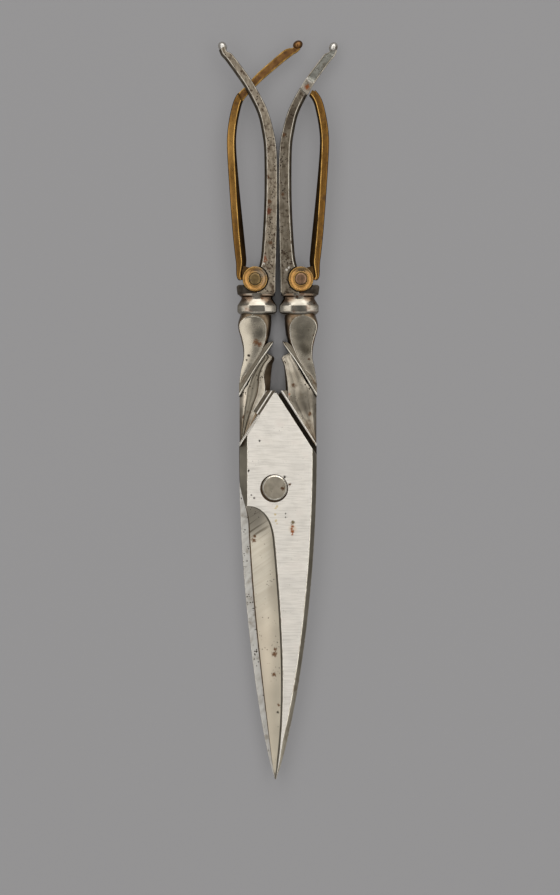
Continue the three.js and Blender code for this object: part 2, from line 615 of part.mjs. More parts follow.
function hingeRivet() {
  const headFloor = washerOuter - HINGE_HEAD_SINK;
  const upper = [
    [HINGE_RIVET_RADIUS, headFloor], [HINGE_HEAD_RADIUS, headFloor], [HINGE_HEAD_RADIUS, washerOuter],
    [0.75 * HINGE_HEAD_RADIUS, washerOuter + HINGE_HEAD_CROWN], [0, washerOuter + HINGE_HEAD_CROWN],
  ];
  const lower = upper.map(([radius, z]) => [radius, -z]).reverse();
  return turned([...lower, ...upper]);
}

function pivotRivet() {
  const headFloor = plateFace - RIVET_HEAD_SINK + LAYER_GAP;
  const upper = [
    [RIVET_SHANK_RADIUS, headFloor], [RIVET_HEAD_RADIUS, headFloor],
    [RIVET_HEAD_RADIUS, restHalfDepth - RIVET_CHAMFER], [RIVET_HEAD_RADIUS - RIVET_CHAMFER, restHalfDepth],
    [0, restHalfDepth],
  ];
  const lower = upper.map(([radius, z]) => [radius, -z]).reverse();
  return turned([...lower, ...upper]).translate(-PIVOT_OFFSET, 0, 0);
}

const bladeSteel = { color: 0xb9b3a8, roughness: 0.38, metalness: 0.9 };
const rivetSteel = { color: 0x9a968e, roughness: 0.5, metalness: 0.9 };
const brass = { color: 0xa9762f, roughness: 0.4, metalness: 0.95 };

function piece(name, geometry, finish) {
  const mesh = new THREE.Mesh(geometry, new THREE.MeshStandardMaterial(finish));
  mesh.name = name;
  return mesh;
}

// One side of the scissors: a blade half, its brass arm and the hinge between them.
function side(label, layer, lean, tailIsWhole) {
  const group = new THREE.Group();
  group.add(piece(`${layer}_blade_half`, bladeHalf(lean), bladeSteel));
  group.add(piece(`${label}_bow_arm`, bowArm(tailIsWhole), brass));
  const hinge = new THREE.Group();
  hinge.position.set(-HINGE_X, hingeY, 0);
  hinge.add(piece(`${label}_hinge_rivet`, hingeRivet(), rivetSteel));
  const nearWasher = piece(`${label}_${layer}_washer`, hingeWasher(), brass);
  const farWasher = piece(`${label}_${layer === 'front' ? 'rear' : 'front'}_washer`, hingeWasher(), brass);
  farWasher.rotation.y = Math.PI;
  hinge.add(nearWasher, farWasher);
  group.add(hinge);
  return group;
}

const scissors = new THREE.Group();
scissors.position.set(PIVOT_OFFSET, 0, restHalfDepth);
const rearSide = side('right', 'rear', 1, false);
rearSide.rotation.y = Math.PI;
scissors.add(side('left', 'front', -1, true), rearSide);
scissors.add(piece('pivot_rivet', pivotRivet(), rivetSteel));

export default scissors;
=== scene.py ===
# %% [markdown]
# # Folding scissors
# An old pair of steel scissors lies flat, seen from straight above. Its finger bows fold: each has an inner
# arm of steel and an outer arm of brass that turns on a small hinge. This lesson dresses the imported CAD
# model: every piece is modelled again with finer curves, rounded edges and a worn metal finish.

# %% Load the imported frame
import math

import bmesh
import bpy
from mathutils import Matrix, Vector


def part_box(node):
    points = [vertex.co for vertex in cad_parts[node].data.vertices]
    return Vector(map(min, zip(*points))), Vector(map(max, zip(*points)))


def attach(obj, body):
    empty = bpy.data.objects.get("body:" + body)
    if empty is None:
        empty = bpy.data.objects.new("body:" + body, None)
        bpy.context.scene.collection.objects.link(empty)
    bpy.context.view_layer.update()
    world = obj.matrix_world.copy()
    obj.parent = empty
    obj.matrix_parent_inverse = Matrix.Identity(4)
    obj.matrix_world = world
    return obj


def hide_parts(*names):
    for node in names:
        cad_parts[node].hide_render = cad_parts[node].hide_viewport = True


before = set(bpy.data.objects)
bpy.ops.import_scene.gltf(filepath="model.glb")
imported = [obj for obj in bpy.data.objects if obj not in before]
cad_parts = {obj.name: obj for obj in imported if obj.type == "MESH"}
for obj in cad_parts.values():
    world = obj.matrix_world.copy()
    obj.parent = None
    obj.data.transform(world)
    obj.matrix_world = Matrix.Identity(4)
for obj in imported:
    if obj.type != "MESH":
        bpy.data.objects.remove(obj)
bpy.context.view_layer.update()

# %% [markdown]
# ## The drawing frame
# A maker draws one half of the scissors and turns it over for the other half. The drawing is in millimetres.
# Its x runs from the middle line between the handles, its y from the pivot and its z from the plane where
# the two halves meet. Two matrices bring a drawn shape to its place in metres, so all places come from the
# frame and the finished objects stay at the origin.

# %% Places read from the frame
MM = 0.001


def middle_of(node):
    low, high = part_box(node)
    return (low + high) / 2


def size_of(node):
    low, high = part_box(node)
    return (high - low) / MM


pivot = middle_of("pivot_rivet")
left_hinge = middle_of("left_hinge_rivet")
right_hinge = middle_of("right_hinge_rivet")
middle_x = (left_hinge.x + right_hinge.x) / 2
as_drawn = Matrix.Translation((middle_x, pivot.y, pivot.z)) @ Matrix.Scale(MM, 4)
turned_over = as_drawn @ Matrix.Rotation(math.pi, 4, "Y")

PIVOT_OFFSET = (middle_x - pivot.x) / MM
HINGE_X = (right_hinge.x - left_hinge.x) / 2 / MM
HINGE_Y = left_hinge.y / MM
HEAD_RADIUS = size_of("pivot_rivet").x / 2
REST_HALF_DEPTH = size_of("pivot_rivet").z / 2
WASHER_RADIUS = size_of("left_front_washer").x / 2
BLADE_REACH = -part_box("front_blade_half")[0].y / MM
print(f"pivot offset {PIVOT_OFFSET:.2f}, hinges {HINGE_X:.2f} out and {HINGE_Y:.2f} up")
print(f"blade reach {BLADE_REACH:.1f} mm")

# %% [markdown]
# ## Shaping helpers
# Nearly all of a forging's forms are skins over sections: a blade, a leaf, a collar and a bar all change
# slowly from one section to the next. A grid from create_grid is such a skin before it is bent, so each of
# its points moves to its section, the seam is merged and the two ends are filled. The corners of a section
# are rounded in the section itself, because a filed edge is never quite sharp and its small round is what
# catches the light.

# %% A curve through stations, and a smooth path
def curve(*stations):
    """A smooth value through (position, value) stations in rising order."""
    places = [place for place, _ in stations]
    values = [value for _, value in stations]
    steps = [(values[i + 1] - values[i]) / (places[i + 1] - places[i]) for i in range(len(places) - 1)]
    slopes = [steps[0], *[(a + b) / 2 for a, b in zip(steps, steps[1:])], steps[-1]]

    def at(place):
        place = min(max(place, places[0]), places[-1])
        i = max(k for k in range(len(places) - 1) if places[k] <= place)
        width = places[i + 1] - places[i]
        t = (place - places[i]) / width
        bend = slopes[i] * (1 - t) - slopes[i + 1] * t - steps[i] * (1 - 2 * t)
        return values[i] + (values[i + 1] - values[i]) * t + width * t * (1 - t) * bend

    return at


def smoothstep(value, start, end):
    t = min(max((value - start) / (end - start), 0), 1)
    return t * t * (3 - 2 * t)


def mix(a, b, share):
    return a + (b - a) * share


def path_through(stations, rows):
    """Centres, directions and widths along a path through (x, y, left, right) stations."""
    count = len(stations) - 1
    nearby = 0.02
    tracks = [curve(*[(i, station[k]) for i, station in enumerate(stations)]) for k in range(4)]
    path = []
    for row in range(rows + 1):
        at = count * row / rows
        ahead = min(at + nearby, count)
        behind = max(at - nearby, 0)
        along = Vector([track(ahead) - track(behind) for track in tracks[:2]]).normalized()
        path.append((Vector([track(at) for track in tracks[:2]]), along, tracks[2](at), tracks[3](at)))
    return path


print(f"a curve from 0 to 1 stands at {curve((0, 0), (2, 1))(1):.2f} halfway")


# %% Rounded sections
ROUND_STEPS = 3
LONGEST_CUT = 0.4


def corner_round(before, here, after, radius):
    """Points of the small round that takes the place of a corner."""
    cut = min(radius, LONGEST_CUT * (before - here).length, LONGEST_CUT * (after - here).length)
    start = here + (before - here).normalized() * cut
    end = here + (after - here).normalized() * cut
    shares = [step / ROUND_STEPS for step in range(ROUND_STEPS + 1)]
    return [start.lerp(here, t).lerp(here.lerp(end, t), t) for t in shares]


def soften(corners, edge):
    """Rounds the corners of a closed section of (x, z, radius, finish), and lists the finish of each strip. A
    fifth entry of a corner is the finish of its own round."""
    points, strips = [], []
    for i, (x, z, radius, finish, *own_edge) in enumerate(corners):
        here = Vector((x, z))
        if radius:
            before = Vector(corners[i - 1][:2])
            after = Vector(corners[(i + 1) % len(corners)][:2])
            points += corner_round(before, here, after, radius)
            strips += ROUND_STEPS * [own_edge[0] if own_edge else edge]
        else:
            points.append(here)
        strips.append(finish)
    return points, strips


square = [(0, 0, 0.1, 0), (1, 0, 0.1, 0), (1, 1, 0.1, 0), (0, 1, 0.1, 0)]
print("a square with rounded corners has", len(soften(square, 0)[0]), "points")


# %% The skin over sections, and a cut by a plane
MERGE_DISTANCE = 1e-4


def close_holes(bm):
    bmesh.ops.holes_fill(bm, edges=[edge for edge in bm.edges if edge.is_boundary], sides=0)
    bmesh.ops.recalc_face_normals(bm, faces=bm.faces)


def skin(rings, strips):
    """A closed skin over rings of points, with a finish for each strip along it."""
    bm = bmesh.new()
    columns, rows = len(rings[0]), len(rings) - 1
    bmesh.ops.create_grid(bm, x_segments=columns, y_segments=rows, size=0.5)
    for face in bm.faces:
        face.material_index = strips[int((face.calc_center_median().x + 0.5) * columns)]
    for vert in bm.verts:
        column = round((vert.co.x + 0.5) * columns) % columns
        vert.co = rings[round((vert.co.y + 0.5) * rows)][column]
    bmesh.ops.remove_doubles(bm, verts=bm.verts, dist=MERGE_DISTANCE)
    bmesh.ops.dissolve_degenerate(bm, edges=bm.edges, dist=MERGE_DISTANCE)
    close_holes(bm)
    return bm


def keep_side(bm, spot, outward):
    """Cuts a shape by a plane and keeps the side that the arrow points away from."""
    everything = [*bm.verts, *bm.edges, *bm.faces]
    bmesh.ops.bisect_plane(bm, geom=everything, plane_co=spot, plane_no=outward, clear_outer=True)
    close_holes(bm)
    return bm


# %% Plates, turned shapes and balls
TURN_STEPS = 72
HOOK_STRETCH = (0.94, 1.12, 1)


def slab(corners, bottom, top, bevel, finish=0):
    """A flat plate from an outline, with its edges broken by a small bevel."""
    bm = bmesh.new()
    face = bm.faces.new([bm.verts.new((x, y, bottom)) for x, y in corners])
    face.material_index = finish
    raised = bmesh.ops.extrude_face_region(bm, geom=[face])["geom"]
    lifted = [item for item in raised if isinstance(item, bmesh.types.BMVert)]
    bmesh.ops.translate(bm, verts=lifted, vec=(0, 0, top - bottom))
    bmesh.ops.recalc_face_normals(bm, faces=bm.faces)
    if bevel:
        bmesh.ops.bevel(bm, geom=bm.edges[:], offset=bevel, offset_type="OFFSET", segments=2, profile=0.5,
                        affect="EDGES", material=-1)
    return bm


def turned(profile, strips=None):
    """A lathe piece about the z axis from a profile of (radius, height)."""
    bm = bmesh.new()
    verts = [bm.verts.new((radius, 0, z)) for radius, z in profile]
    edges = [bm.edges.new(pair) for pair in zip(verts, verts[1:])]
    bmesh.ops.spin(bm, geom=[*verts, *edges], cent=(0, 0, 0), axis=(0, 0, 1), angle=2 * math.pi,
                   steps=TURN_STEPS, use_merge=True)
    bmesh.ops.remove_doubles(bm, verts=bm.verts, dist=MERGE_DISTANCE)
    bmesh.ops.recalc_face_normals(bm, faces=bm.faces)
    if strips:
        for face in bm.faces:
            centre = face.calc_center_median()
            face.material_index = strips(math.hypot(centre.x, centre.y), centre.z)
    return bm


def finished(bm, finish):
    """Gives all faces of a shape one finish."""
    for face in bm.faces:
        face.material_index = finish
    return bm


def hook_ball(radius, x, y, z, lean, finish):
    """The rounded end of a hook, a little longer along the arm."""
    bm = bmesh.new()
    bmesh.ops.create_uvsphere(bm, u_segments=32, v_segments=20, radius=radius)
    bmesh.ops.scale(bm, verts=bm.verts, vec=HOOK_STRETCH)
    bmesh.ops.rotate(bm, verts=bm.verts, cent=(0, 0, 0), matrix=Matrix.Rotation(lean, 3, "Z"))
    bmesh.ops.translate(bm, verts=bm.verts, vec=(x, y, z))
    return finished(bm, finish)


# %% Join shapes and cut them
def together(*shapes):
    """Several shapes of one forging as the parts of one mesh."""
    whole = bmesh.new()
    for shape in shapes:
        part = bpy.data.meshes.new("part")
        shape.to_mesh(part)
        shape.free()
        whole.from_mesh(part)
        bpy.data.meshes.remove(part)
    return whole


def cut_away(bm, *cutters):
    """Takes cutter shapes out of a shape with Boolean modifiers and returns what is left."""
    def as_object(shape):
        mesh = bpy.data.meshes.new("blank")
        shape.to_mesh(mesh)
        shape.free()
        holder = bpy.data.objects.new("blank", mesh)
        bpy.context.collection.objects.link(holder)
        return holder

    work = as_object(bm)
    tools = [as_object(cutter) for cutter in cutters]
    for tool in tools:
        modifier = work.modifiers.new("cut", "BOOLEAN")
        modifier.operation = "DIFFERENCE"
        modifier.solver = "EXACT"
        modifier.object = tool
    left = work.evaluated_get(bpy.context.evaluated_depsgraph_get())
    result = bmesh.new()
    result.from_mesh(left.to_mesh())
    left.to_mesh_clear()
    for holder in [work, *tools]:
        mesh = holder.data
        bpy.data.objects.remove(holder)
        bpy.data.meshes.remove(mesh)
    return result


# %% Put a drawn shape in its place
SHARP_DEGREES = 22
made = []


def piece(name, bm, matrix, body, node, finishes):
    """Makes a drawn shape an object of the scene that rides on a body and stands for a CAD node."""
    bmesh.ops.transform(bm, matrix=matrix, verts=bm.verts)
    mesh = bpy.data.meshes.new(name)
    bm.to_mesh(mesh)
    bm.free()
    for finish in finishes:
        mesh.materials.append(finish)
    mesh.shade_smooth()
    mesh.set_sharp_from_angle(angle=math.radians(SHARP_DEGREES))
    thing = bpy.data.objects.new(name, mesh)
    bpy.context.collection.objects.link(thing)
    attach(thing, body)
    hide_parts(node)
    made.append(thing)
    return thing


# %% [markdown]
# ## Old metal
# All the finishes are worn metal, so one recipe serves them: a bright colour and a dull one laid over each
# other by a stretched noise, which is the grain that a stone or a file leaves; a slow cloud of patina; small
# pits from a Voronoi texture; and single marks at their own places. The marks are rust and stains, and in
# some finishes painted shade, painted highlights and painted reflections. All patterns read Object
# coordinates in metres, so they run across neighbouring pieces as if those were one forging.

# %% Nodes in one call
def joined(tree, entry, value):
    """Joins an input to another node's output, or sets it to a value."""
    if isinstance(value, bpy.types.NodeSocket):
        tree.links.new(value, entry)
    else:
        entry.default_value = value


def linked(tree, kind, **inputs):
    """A node with its named inputs joined or set."""
    node = tree.nodes.new(kind)
    for name, value in inputs.items():
        joined(tree, node.inputs[name.replace("_", " ")], value)
    return node


def worked_out(tree, operation, *values):
    """The result of a Math node on values or on other nodes' outputs."""
    node = tree.nodes.new("ShaderNodeMath")
    node.operation = operation
    for entry, value in zip(node.inputs, values):
        joined(tree, entry, value)
    return node.outputs["Value"]


def rise(tree, value, start, end, low=0.0, high=1.0):
    """A share that goes smoothly from low to high while a value goes from start to end."""
    node = linked(tree, "ShaderNodeMapRange", Value=value, From_Min=start, From_Max=end, To_Min=low,
                  To_Max=high)
    node.interpolation_type = "SMOOTHSTEP"
    return node.outputs["Result"]


def noise(tree, vector, scale, detail):
    return linked(tree, "ShaderNodeTexNoise", Vector=vector, Scale=scale, Detail=detail).outputs["Fac"]


def over(tree, colour, top, share):
    """One colour, or another node's, with a second laid over it."""
    node = tree.nodes.new("ShaderNodeMix")
    node.data_type = "RGBA"
    joined(tree, node.inputs[0], share)
    for entry, value in ((node.inputs[6], colour), (node.inputs[7], top)):
        joined(tree, entry, (*value, 1) if isinstance(value, tuple) else value)
    return node.outputs[2]


# %% Patterns turned and placed
def laid_along(tree, where, angle, cycles):
    """Coordinates turned by an angle and then stretched to cycles per metre along each axis."""
    node = linked(tree, "ShaderNodeMapping", Vector=where, Rotation=(0, 0, angle),
                  Scale=[1 / count for count in cycles])
    node.vector_type = "TEXTURE"
    return node.outputs["Vector"]


def distance_to(tree, flat, x, y):
    """How far the surface is from a place of the drawing in mm, seen from above."""
    away = linked(tree, "ShaderNodeVectorMath", Vector=flat)
    away.operation = "DISTANCE"
    away.inputs[1].default_value = (x * MM, y * MM, 0)
    return away.outputs["Value"]


# %% Fades, stains and grind lines
COMB_CYCLES = (70, 2300, 70)
COMB_RAMP = (0.54, 0.63)


def faded(tree, where, colour, fades):
    """Tints from one place to another, along y or outwards from the middle line."""
    axes = linked(tree, "ShaderNodeSeparateXYZ", Vector=where).outputs
    outwards = worked_out(tree, "ABSOLUTE", worked_out(tree, "SUBTRACT", axes["X"], middle_x))
    for axis, start, end, tint in fades:
        place = outwards if axis == "outwards" else axes["Y"]
        colour = over(tree, colour, tint, rise(tree, place, start * MM, end * MM))
    return colour


def with_round_marks(tree, flat, colour, round_marks, drift, pull, fade_start, fade_end):
    """Round marks whose outline a noise pulls about: stains, and in some finishes painted shade, painted
    highlights and painted reflections. Pull and fade are shares of a mark's radius.
    """
    for x, y, radius, mark_colour in round_marks:
        size = radius * MM
        torn = worked_out(tree, "MULTIPLY_ADD", drift, -pull * size, distance_to(tree, flat, x, y))
        colour = over(tree, colour, mark_colour, rise(tree, torn, fade_start * size, fade_end * size))
    return colour


def combed(tree, where, flat, colour, combs):
    """Sets of grind lines, each in a round patch."""
    for x, y, radius, angle, mark_colour in combs:
        lines = rise(tree, noise(tree, laid_along(tree, where, angle, COMB_CYCLES), 1.0, 1.0), *COMB_RAMP)
        inside = rise(tree, distance_to(tree, flat, x, y), radius * MM, 0.6 * radius * MM)
        colour = over(tree, colour, mark_colour, worked_out(tree, "MULTIPLY", lines, inside))
    return colour


# %% Pits
PIT_DIRT = (0.035, 0.025, 0.018)


def pits_in(tree, where, size, scale, start):
    """Where small pits are: some of the cells of a Voronoi texture, with outlines that a noise moves."""
    wobble = linked(tree, "ShaderNodeTexNoise", Vector=where, Scale=1.6 * scale)
    moved = linked(tree, "ShaderNodeVectorMath", Vector=wobble.outputs["Color"])
    moved.operation = "MULTIPLY_ADD"
    moved.inputs[1].default_value = [0.9 / scale] * 3
    tree.links.new(where, moved.inputs[2])
    cells = linked(tree, "ShaderNodeTexVoronoi", Vector=moved.outputs["Vector"], Scale=scale)
    few = rise(tree, noise(tree, where, scale / 5, 2.0), start, start + 0.14, 0.0, size)
    return rise(tree, worked_out(tree, "SUBTRACT", few, cells.outputs["Distance"]), 0.0, 0.08)


# %% The recipe for worn metal
GRAIN_HEIGHT = 0.06 * MM
GRAIN_RAMP = (0.38, 0.68)
PATINA_RUN = 0.2
ROUGH_RAMP = (0.3, 0.75)
PATCH_SCALE, SPOT_SCALE = 450.0, 2600.0


def old_metal(name, bright, dull, patina, roughness, grain, turn=0.0, grain_depth=0.3, cloud=260.0,
              patina_from=0.55, pit_size=0.0, pit_scale=1400.0, pits_from=0.5, spots=(), soft_patches=(),
              fades=(), combs=()):
    """Worn metal. Grain gives noise cycles per metre along x, y and z. Spots are ragged marks, soft patches
    are soft ones and combs are sets of grind lines, all at places in mm. Spots and soft patches are stains,
    and in some finishes painted shade, painted highlights and painted reflections."""
    material = bpy.data.materials.new(name)
    material.use_nodes = True
    tree = material.node_tree
    where = tree.nodes.new("ShaderNodeTexCoord").outputs["Object"]
    flat = linked(tree, "ShaderNodeMapping", Vector=where, Scale=(1, 1, 0)).outputs["Vector"]
    streak = noise(tree, laid_along(tree, where, turn, grain), 1.0, 4.0)
    clouds = noise(tree, where, cloud, 5.0)
    drift = noise(tree, where, PATCH_SCALE, 3.0)
    ragged = noise(tree, where, SPOT_SCALE, 3.0)
    colour = over(tree, bright, dull, rise(tree, streak, *GRAIN_RAMP))
    colour = over(tree, colour, patina, rise(tree, clouds, patina_from, patina_from + PATINA_RUN))
    colour = faded(tree, where, colour, fades)
    colour = with_round_marks(tree, flat, colour, soft_patches, drift, 1.0, 0.5, -0.4)
    colour = combed(tree, where, flat, colour, combs)
    height = streak
    if pit_size:
        pits = pits_in(tree, where, pit_size, pit_scale, pits_from)
        colour = over(tree, colour, PIT_DIRT, pits)
        height = worked_out(tree, "SUBTRACT", streak, pits)
    colour = with_round_marks(tree, flat, colour, spots, ragged, 1.6, 0.1, -0.5)
    bump = linked(tree, "ShaderNodeBump", Strength=grain_depth, Distance=GRAIN_HEIGHT, Height=height)
    shader = tree.nodes["Principled BSDF"]
    shader.inputs["Metallic"].default_value = 1.0
    tree.links.new(colour, shader.inputs["Base Color"])
    tree.links.new(rise(tree, clouds, *ROUGH_RAMP, *roughness), shader.inputs["Roughness"])
    tree.links.new(bump.outputs["Normal"], shader.inputs["Normal"])
    return material


# %% [markdown]
# ## Finishes of the blades
# The flats were drawn across a stone, so their grain lies across the blade. The scoop was ground on a wheel,
# which left slanting lines under its arched top, and rust has taken hold in a few places. The bevels are
# darker, and the seat of the pivot head and the inner face in the gap between the blades turn nearly black:
# this is painted shade. A painted picture could show all this, but every piece would have to be unwrapped
# for it. Here each finish is one call of the recipe with its own colours and marks.

# %% Stains, painted light and shade, and blade finishes
RUST = (0.30, 0.10, 0.035)
BROWN = (0.10, 0.055, 0.03)
TAN = (0.60, 0.49, 0.29)
PIT = (0.03, 0.022, 0.016)
NECK_SIDE_BROWN = (0.115, 0.077, 0.05)
# Painted highlight: the white of small glints.
GLINT_WHITE = (0.6, 0.56, 0.5)
DARK_BROWN = (0.075, 0.051, 0.033)

brushed_flat = old_metal(
    "brushed_flat", (0.76, 0.715, 0.645), (0.655, 0.613, 0.545), (0.70, 0.645, 0.58), (0.42, 0.54),
    (240, 3200, 240), grain_depth=0.22, pit_size=0.15,
    soft_patches=[(4.8, -11.0, 1.5, (0.68, 0.585, 0.47))],
    spots=[(0.6, -5.0, 0.55, TAN), (0.2, -5.6, 0.4, TAN), (0.1, -7.2, 0.45, TAN), (0.3, -8.9, 0.5, TAN),
           (0.6, -9.7, 0.35, TAN), (4.85, -9.4, 0.75, (0.16, 0.12, 0.06)), (4.75, -10.4, 0.55, RUST),
           (4.6, -11.1, 0.6, RUST), (4.8, -11.8, 0.75, RUST), (4.7, -12.7, 0.4, RUST),
           (-7.1, 4.5, 0.5, PIT), (-5.5, -2.8, 0.45, PIT), (-6.3, -2.0, 0.35, PIT),
           (-4.1, 12.6, 0.4, PIT), (2.6, 2.8, 0.6, PIT), (4.0, 0.9, 0.6, BROWN), (-3.6, -0.8, 0.6, PIT),
           (-1.0, -3.6, 0.6, PIT), (2.95, -7.0, 0.3, PIT), (2.9, -8.0, 0.3, PIT)])
hollow_grind = old_metal(
    "hollow_grind", (0.415, 0.375, 0.305), (0.37, 0.331, 0.264), (0.335, 0.296, 0.232), (0.3, 0.42),
    (90, 1900, 90), turn=0.6, grain_depth=0.05, cloud=120, pit_size=0.22, pits_from=0.47,
    fades=[("y", -26.0, -42.0, (0.44, 0.38, 0.295)), ("outwards", 3.4, 0.2, (0.31, 0.274, 0.213)),
           ("y", -14.0, -8.0, (0.28, 0.25, 0.2))],
    combs=[(-5.0, -10.0, 4.4, 0.6, (0.19, 0.165, 0.125))],
    spots=[(-5.7, -14.2, 0.9, BROWN), (-5.4, -13.2, 0.6, BROWN), (-0.1, -44.9, 1.1, BROWN),
           (0.1, -43.6, 0.7, BROWN), (-0.2, -50.4, 0.9, BROWN), (1.0, -58.6, 0.6, BROWN),
           (0.8, -60.6, 0.5, PIT)])
# From 1 to 8 mm above the pivot the inner face turns nearly black: painted shade in the narrow gap between
# the blades.
inner_face = old_metal(
    "inner_face", (0.51, 0.49, 0.45), (0.40, 0.375, 0.335), (0.29, 0.262, 0.222), (0.3, 0.42),
    (300, 700, 300), turn=0.9, grain_depth=0.15, cloud=420, pit_size=0.32, pits_from=0.45,
    fades=[("y", 1.0, 8.0, (0.035, 0.028, 0.02))])
# The bevels are a darker copy of the blade steel, which is painted shade; the light soft patch on the left
# ricasso bevel is painted light.
dark_bevel = old_metal(
    "dark_bevel", (0.255, 0.228, 0.178), (0.185, 0.162, 0.122), (0.125, 0.098, 0.066), (0.34, 0.5),
    (300, 120, 300), grain_depth=0.15,
    soft_patches=[(-9.6, 6.0, 7.5, (0.34, 0.305, 0.238))])
# Bright rounded edges and rims: rubbed bright by wear, and brighter still as a painted highlight.
worn_edge_sheen = old_metal(
    "worn_edge_sheen", (0.66, 0.615, 0.53), (0.44, 0.395, 0.32), (0.2, 0.15, 0.1), (0.2, 0.36), (700, 700, 700),
    grain_depth=0.1, patina_from=0.56)
print("finishes", len(bpy.data.materials))

# %% [markdown]
# ## Finishes of the carved shanks and collars
# The carving was filed and polished by hand, so it has hardly any grain. Polish stays on what stands out: the
# raised facets are smooth and bright and the flutes are dull. The flanks are brown, darker beside the
# teardrops with painted shade. The grooves and the sides of the band are nearly black, and the band's upper
# slope, the step and the lip are darker, all painted shade. The step's rims are painted highlights, dark
# patches in the teardrops' dishes are painted reflections, and the sides of each collar's neck are browner.

# %% Shank and collar finishes
carved_steel = old_metal(
    "carved_steel", (0.43, 0.383, 0.308), (0.3, 0.262, 0.204), (0.16, 0.113, 0.073), (0.34, 0.5),
    (500, 300, 500), turn=0.6, grain_depth=0.15, cloud=380, patina_from=0.56, pit_size=0.34,
    pits_from=0.46,
    spots=[(3.2, 25.1, 1.1, RUST), (-7.4, 21.4, 0.9, BROWN), (-6.8, 20.2, 0.6, BROWN),
           (-8.3, 18.9, 0.8, BROWN), (5.0, 27.6, 0.7, BROWN), (9.4, 19.8, 0.8, BROWN)],
    fades=[("y", 20.0, 12.0, (0.15, 0.11, 0.072))],
    soft_patches=[(7.4, 22.5, 6.5, (0.13, 0.112, 0.086)), (5.6, 30.0, 3.6, (0.25, 0.217, 0.168)),
             (-8.4, 17.0, 4.0, (0.2, 0.155, 0.105)), (-7.6, 23.4, 3.4, (0.56, 0.49, 0.39))])
flute_steel = old_metal(
    "flute_steel", (0.205, 0.18, 0.138), (0.15, 0.129, 0.096), (0.1, 0.067, 0.042), (0.36, 0.5),
    (500, 200, 500), turn=-0.5, grain_depth=0.15, cloud=420, patina_from=0.56, pit_size=0.3,
    pits_from=0.46)
# Near black brown for the seat of the pivot head, which is painted shade in the gap round the head, and for
# the narrow strip at each blade's cutting edge.
dark_seat_and_edge = old_metal(
    "dark_seat_and_edge", (0.085, 0.058, 0.036), (0.05, 0.034, 0.021), (0.11, 0.055, 0.027), (0.36, 0.55),
    (700, 500, 700), grain_depth=0.25, cloud=500, pit_size=0.2)
band_shade = old_metal(
    "band_shade", (0.14, 0.12, 0.09), (0.1, 0.082, 0.06), (0.08, 0.054, 0.034), (0.34, 0.5),
    (500, 200, 500), turn=0.5, grain_depth=0.15, cloud=420, pit_size=0.2)
# The dark brown soft patches on the inner flanks of the teardrops, towards the gap between the shanks, are
# painted shade.
flank_brown = old_metal(
    "flank_brown", (0.21, 0.158, 0.104), (0.14, 0.102, 0.066), (0.19, 0.107, 0.058), (0.36, 0.52),
    (700, 400, 700), grain_depth=0.25, cloud=420, pit_size=0.2,
    soft_patches=[(-1.2, 42.0, 3.8, DARK_BROWN), (2.9, 42.0, 3.8, DARK_BROWN), (-1.8, 37.6, 2.8, DARK_BROWN),
             (3.5, 37.6, 2.8, DARK_BROWN)])
# Painted shade: a near black brown for the grooves beside the band, the sides of the band, the horn, the cut
# faces of the hinge seats and the seats round the hinge rivets.
painted_shade = old_metal(
    "painted_shade", (0.065, 0.054, 0.042), (0.036, 0.029, 0.022), (0.095, 0.078, 0.06), (0.36, 0.5),
    (700, 500, 700), grain_depth=0.25, cloud=500, pit_size=0.2)
# Browner tints on both sides of each collar's neck.
neck_side_tints = [(x, y, radius, NECK_SIDE_BROWN) for x, y, radius in [
    (-8.8, 50.8, 2.6), (-7.5, 51.1, 2.1), (-6.8, 51.4, 1.5), (-0.9, 50.8, 2.6), (-2.2, 51.1, 2.1),
    (-3.1, 51.4, 1.5), (2.4, 50.8, 2.6), (3.7, 51.1, 2.1), (4.5, 51.4, 1.4), (10.6, 50.8, 2.6),
    (9.4, 51.1, 2.1), (8.6, 51.4, 1.5)]]
collar_steel = old_metal(
    "collar_steel", (0.385, 0.35, 0.293), (0.285, 0.254, 0.205), (0.22, 0.12, 0.074), (0.13, 0.25),
    (300, 900, 300), grain_depth=0.08, cloud=330, patina_from=0.56, pit_size=0.12,
    soft_patches=[*neck_side_tints, (6.9, 48.3, 2.4, (0.235, 0.212, 0.176))],
    spots=[(-3.4, 50.9, 0.5, BROWN), (-7.2, 51.4, 0.5, BROWN), (6.0, 51.4, 0.6, BROWN),
           (10.6, 49.6, 0.5, BROWN)])
# The darker soft patches, one in the left teardrop's dish and three in the right one's, are painted
# reflection; the spots are stains and pits.
teardrop_face = old_metal(
    "teardrop_face", (0.385, 0.342, 0.272), (0.33, 0.29, 0.227), (0.25, 0.197, 0.139), (0.2, 0.32),
    (200, 150, 200), turn=0.4, grain_depth=0.06, cloud=300, patina_from=0.64, pit_size=0.2,
    soft_patches=[(-4.2, 41.6, 2.4, (0.2, 0.178, 0.14)), (7.6, 40.5, 6.5, (0.27, 0.238, 0.184)),
             (7.4, 41.6, 3.6, (0.17, 0.15, 0.116)), (8.2, 37.4, 3.0, (0.16, 0.138, 0.102))],
    spots=[(-5.0, 39.2, 1.3, (0.20, 0.11, 0.06)), (-4.2, 38.6, 1.0, (0.18, 0.09, 0.05)),
           (-7.0, 35.6, 0.5, PIT), (-7.6, 34.4, 0.4, PIT), (10.2, 38.4, 0.7, BROWN),
           (10.6, 41.0, 0.6, BROWN), (9.2, 34.6, 0.5, BROWN)])
print("finishes", len(bpy.data.materials))

# %% [markdown]
# ## Finishes of the bow arms and rivets
# The faces of the steel arms are pitted all over, so they take a finer Voronoi and more of its cells than the
# rest. The right arm is the darker one. Sides are darker, which is painted shade, and the bright edges are
# worn and carry a painted highlight. A few small white spots by the hinges and at the right arm's step are
# painted highlights. The panels of the half laps are a greenish grey, and the ball hooks are still bright.
# The head of the pivot rivet is plain grey steel.

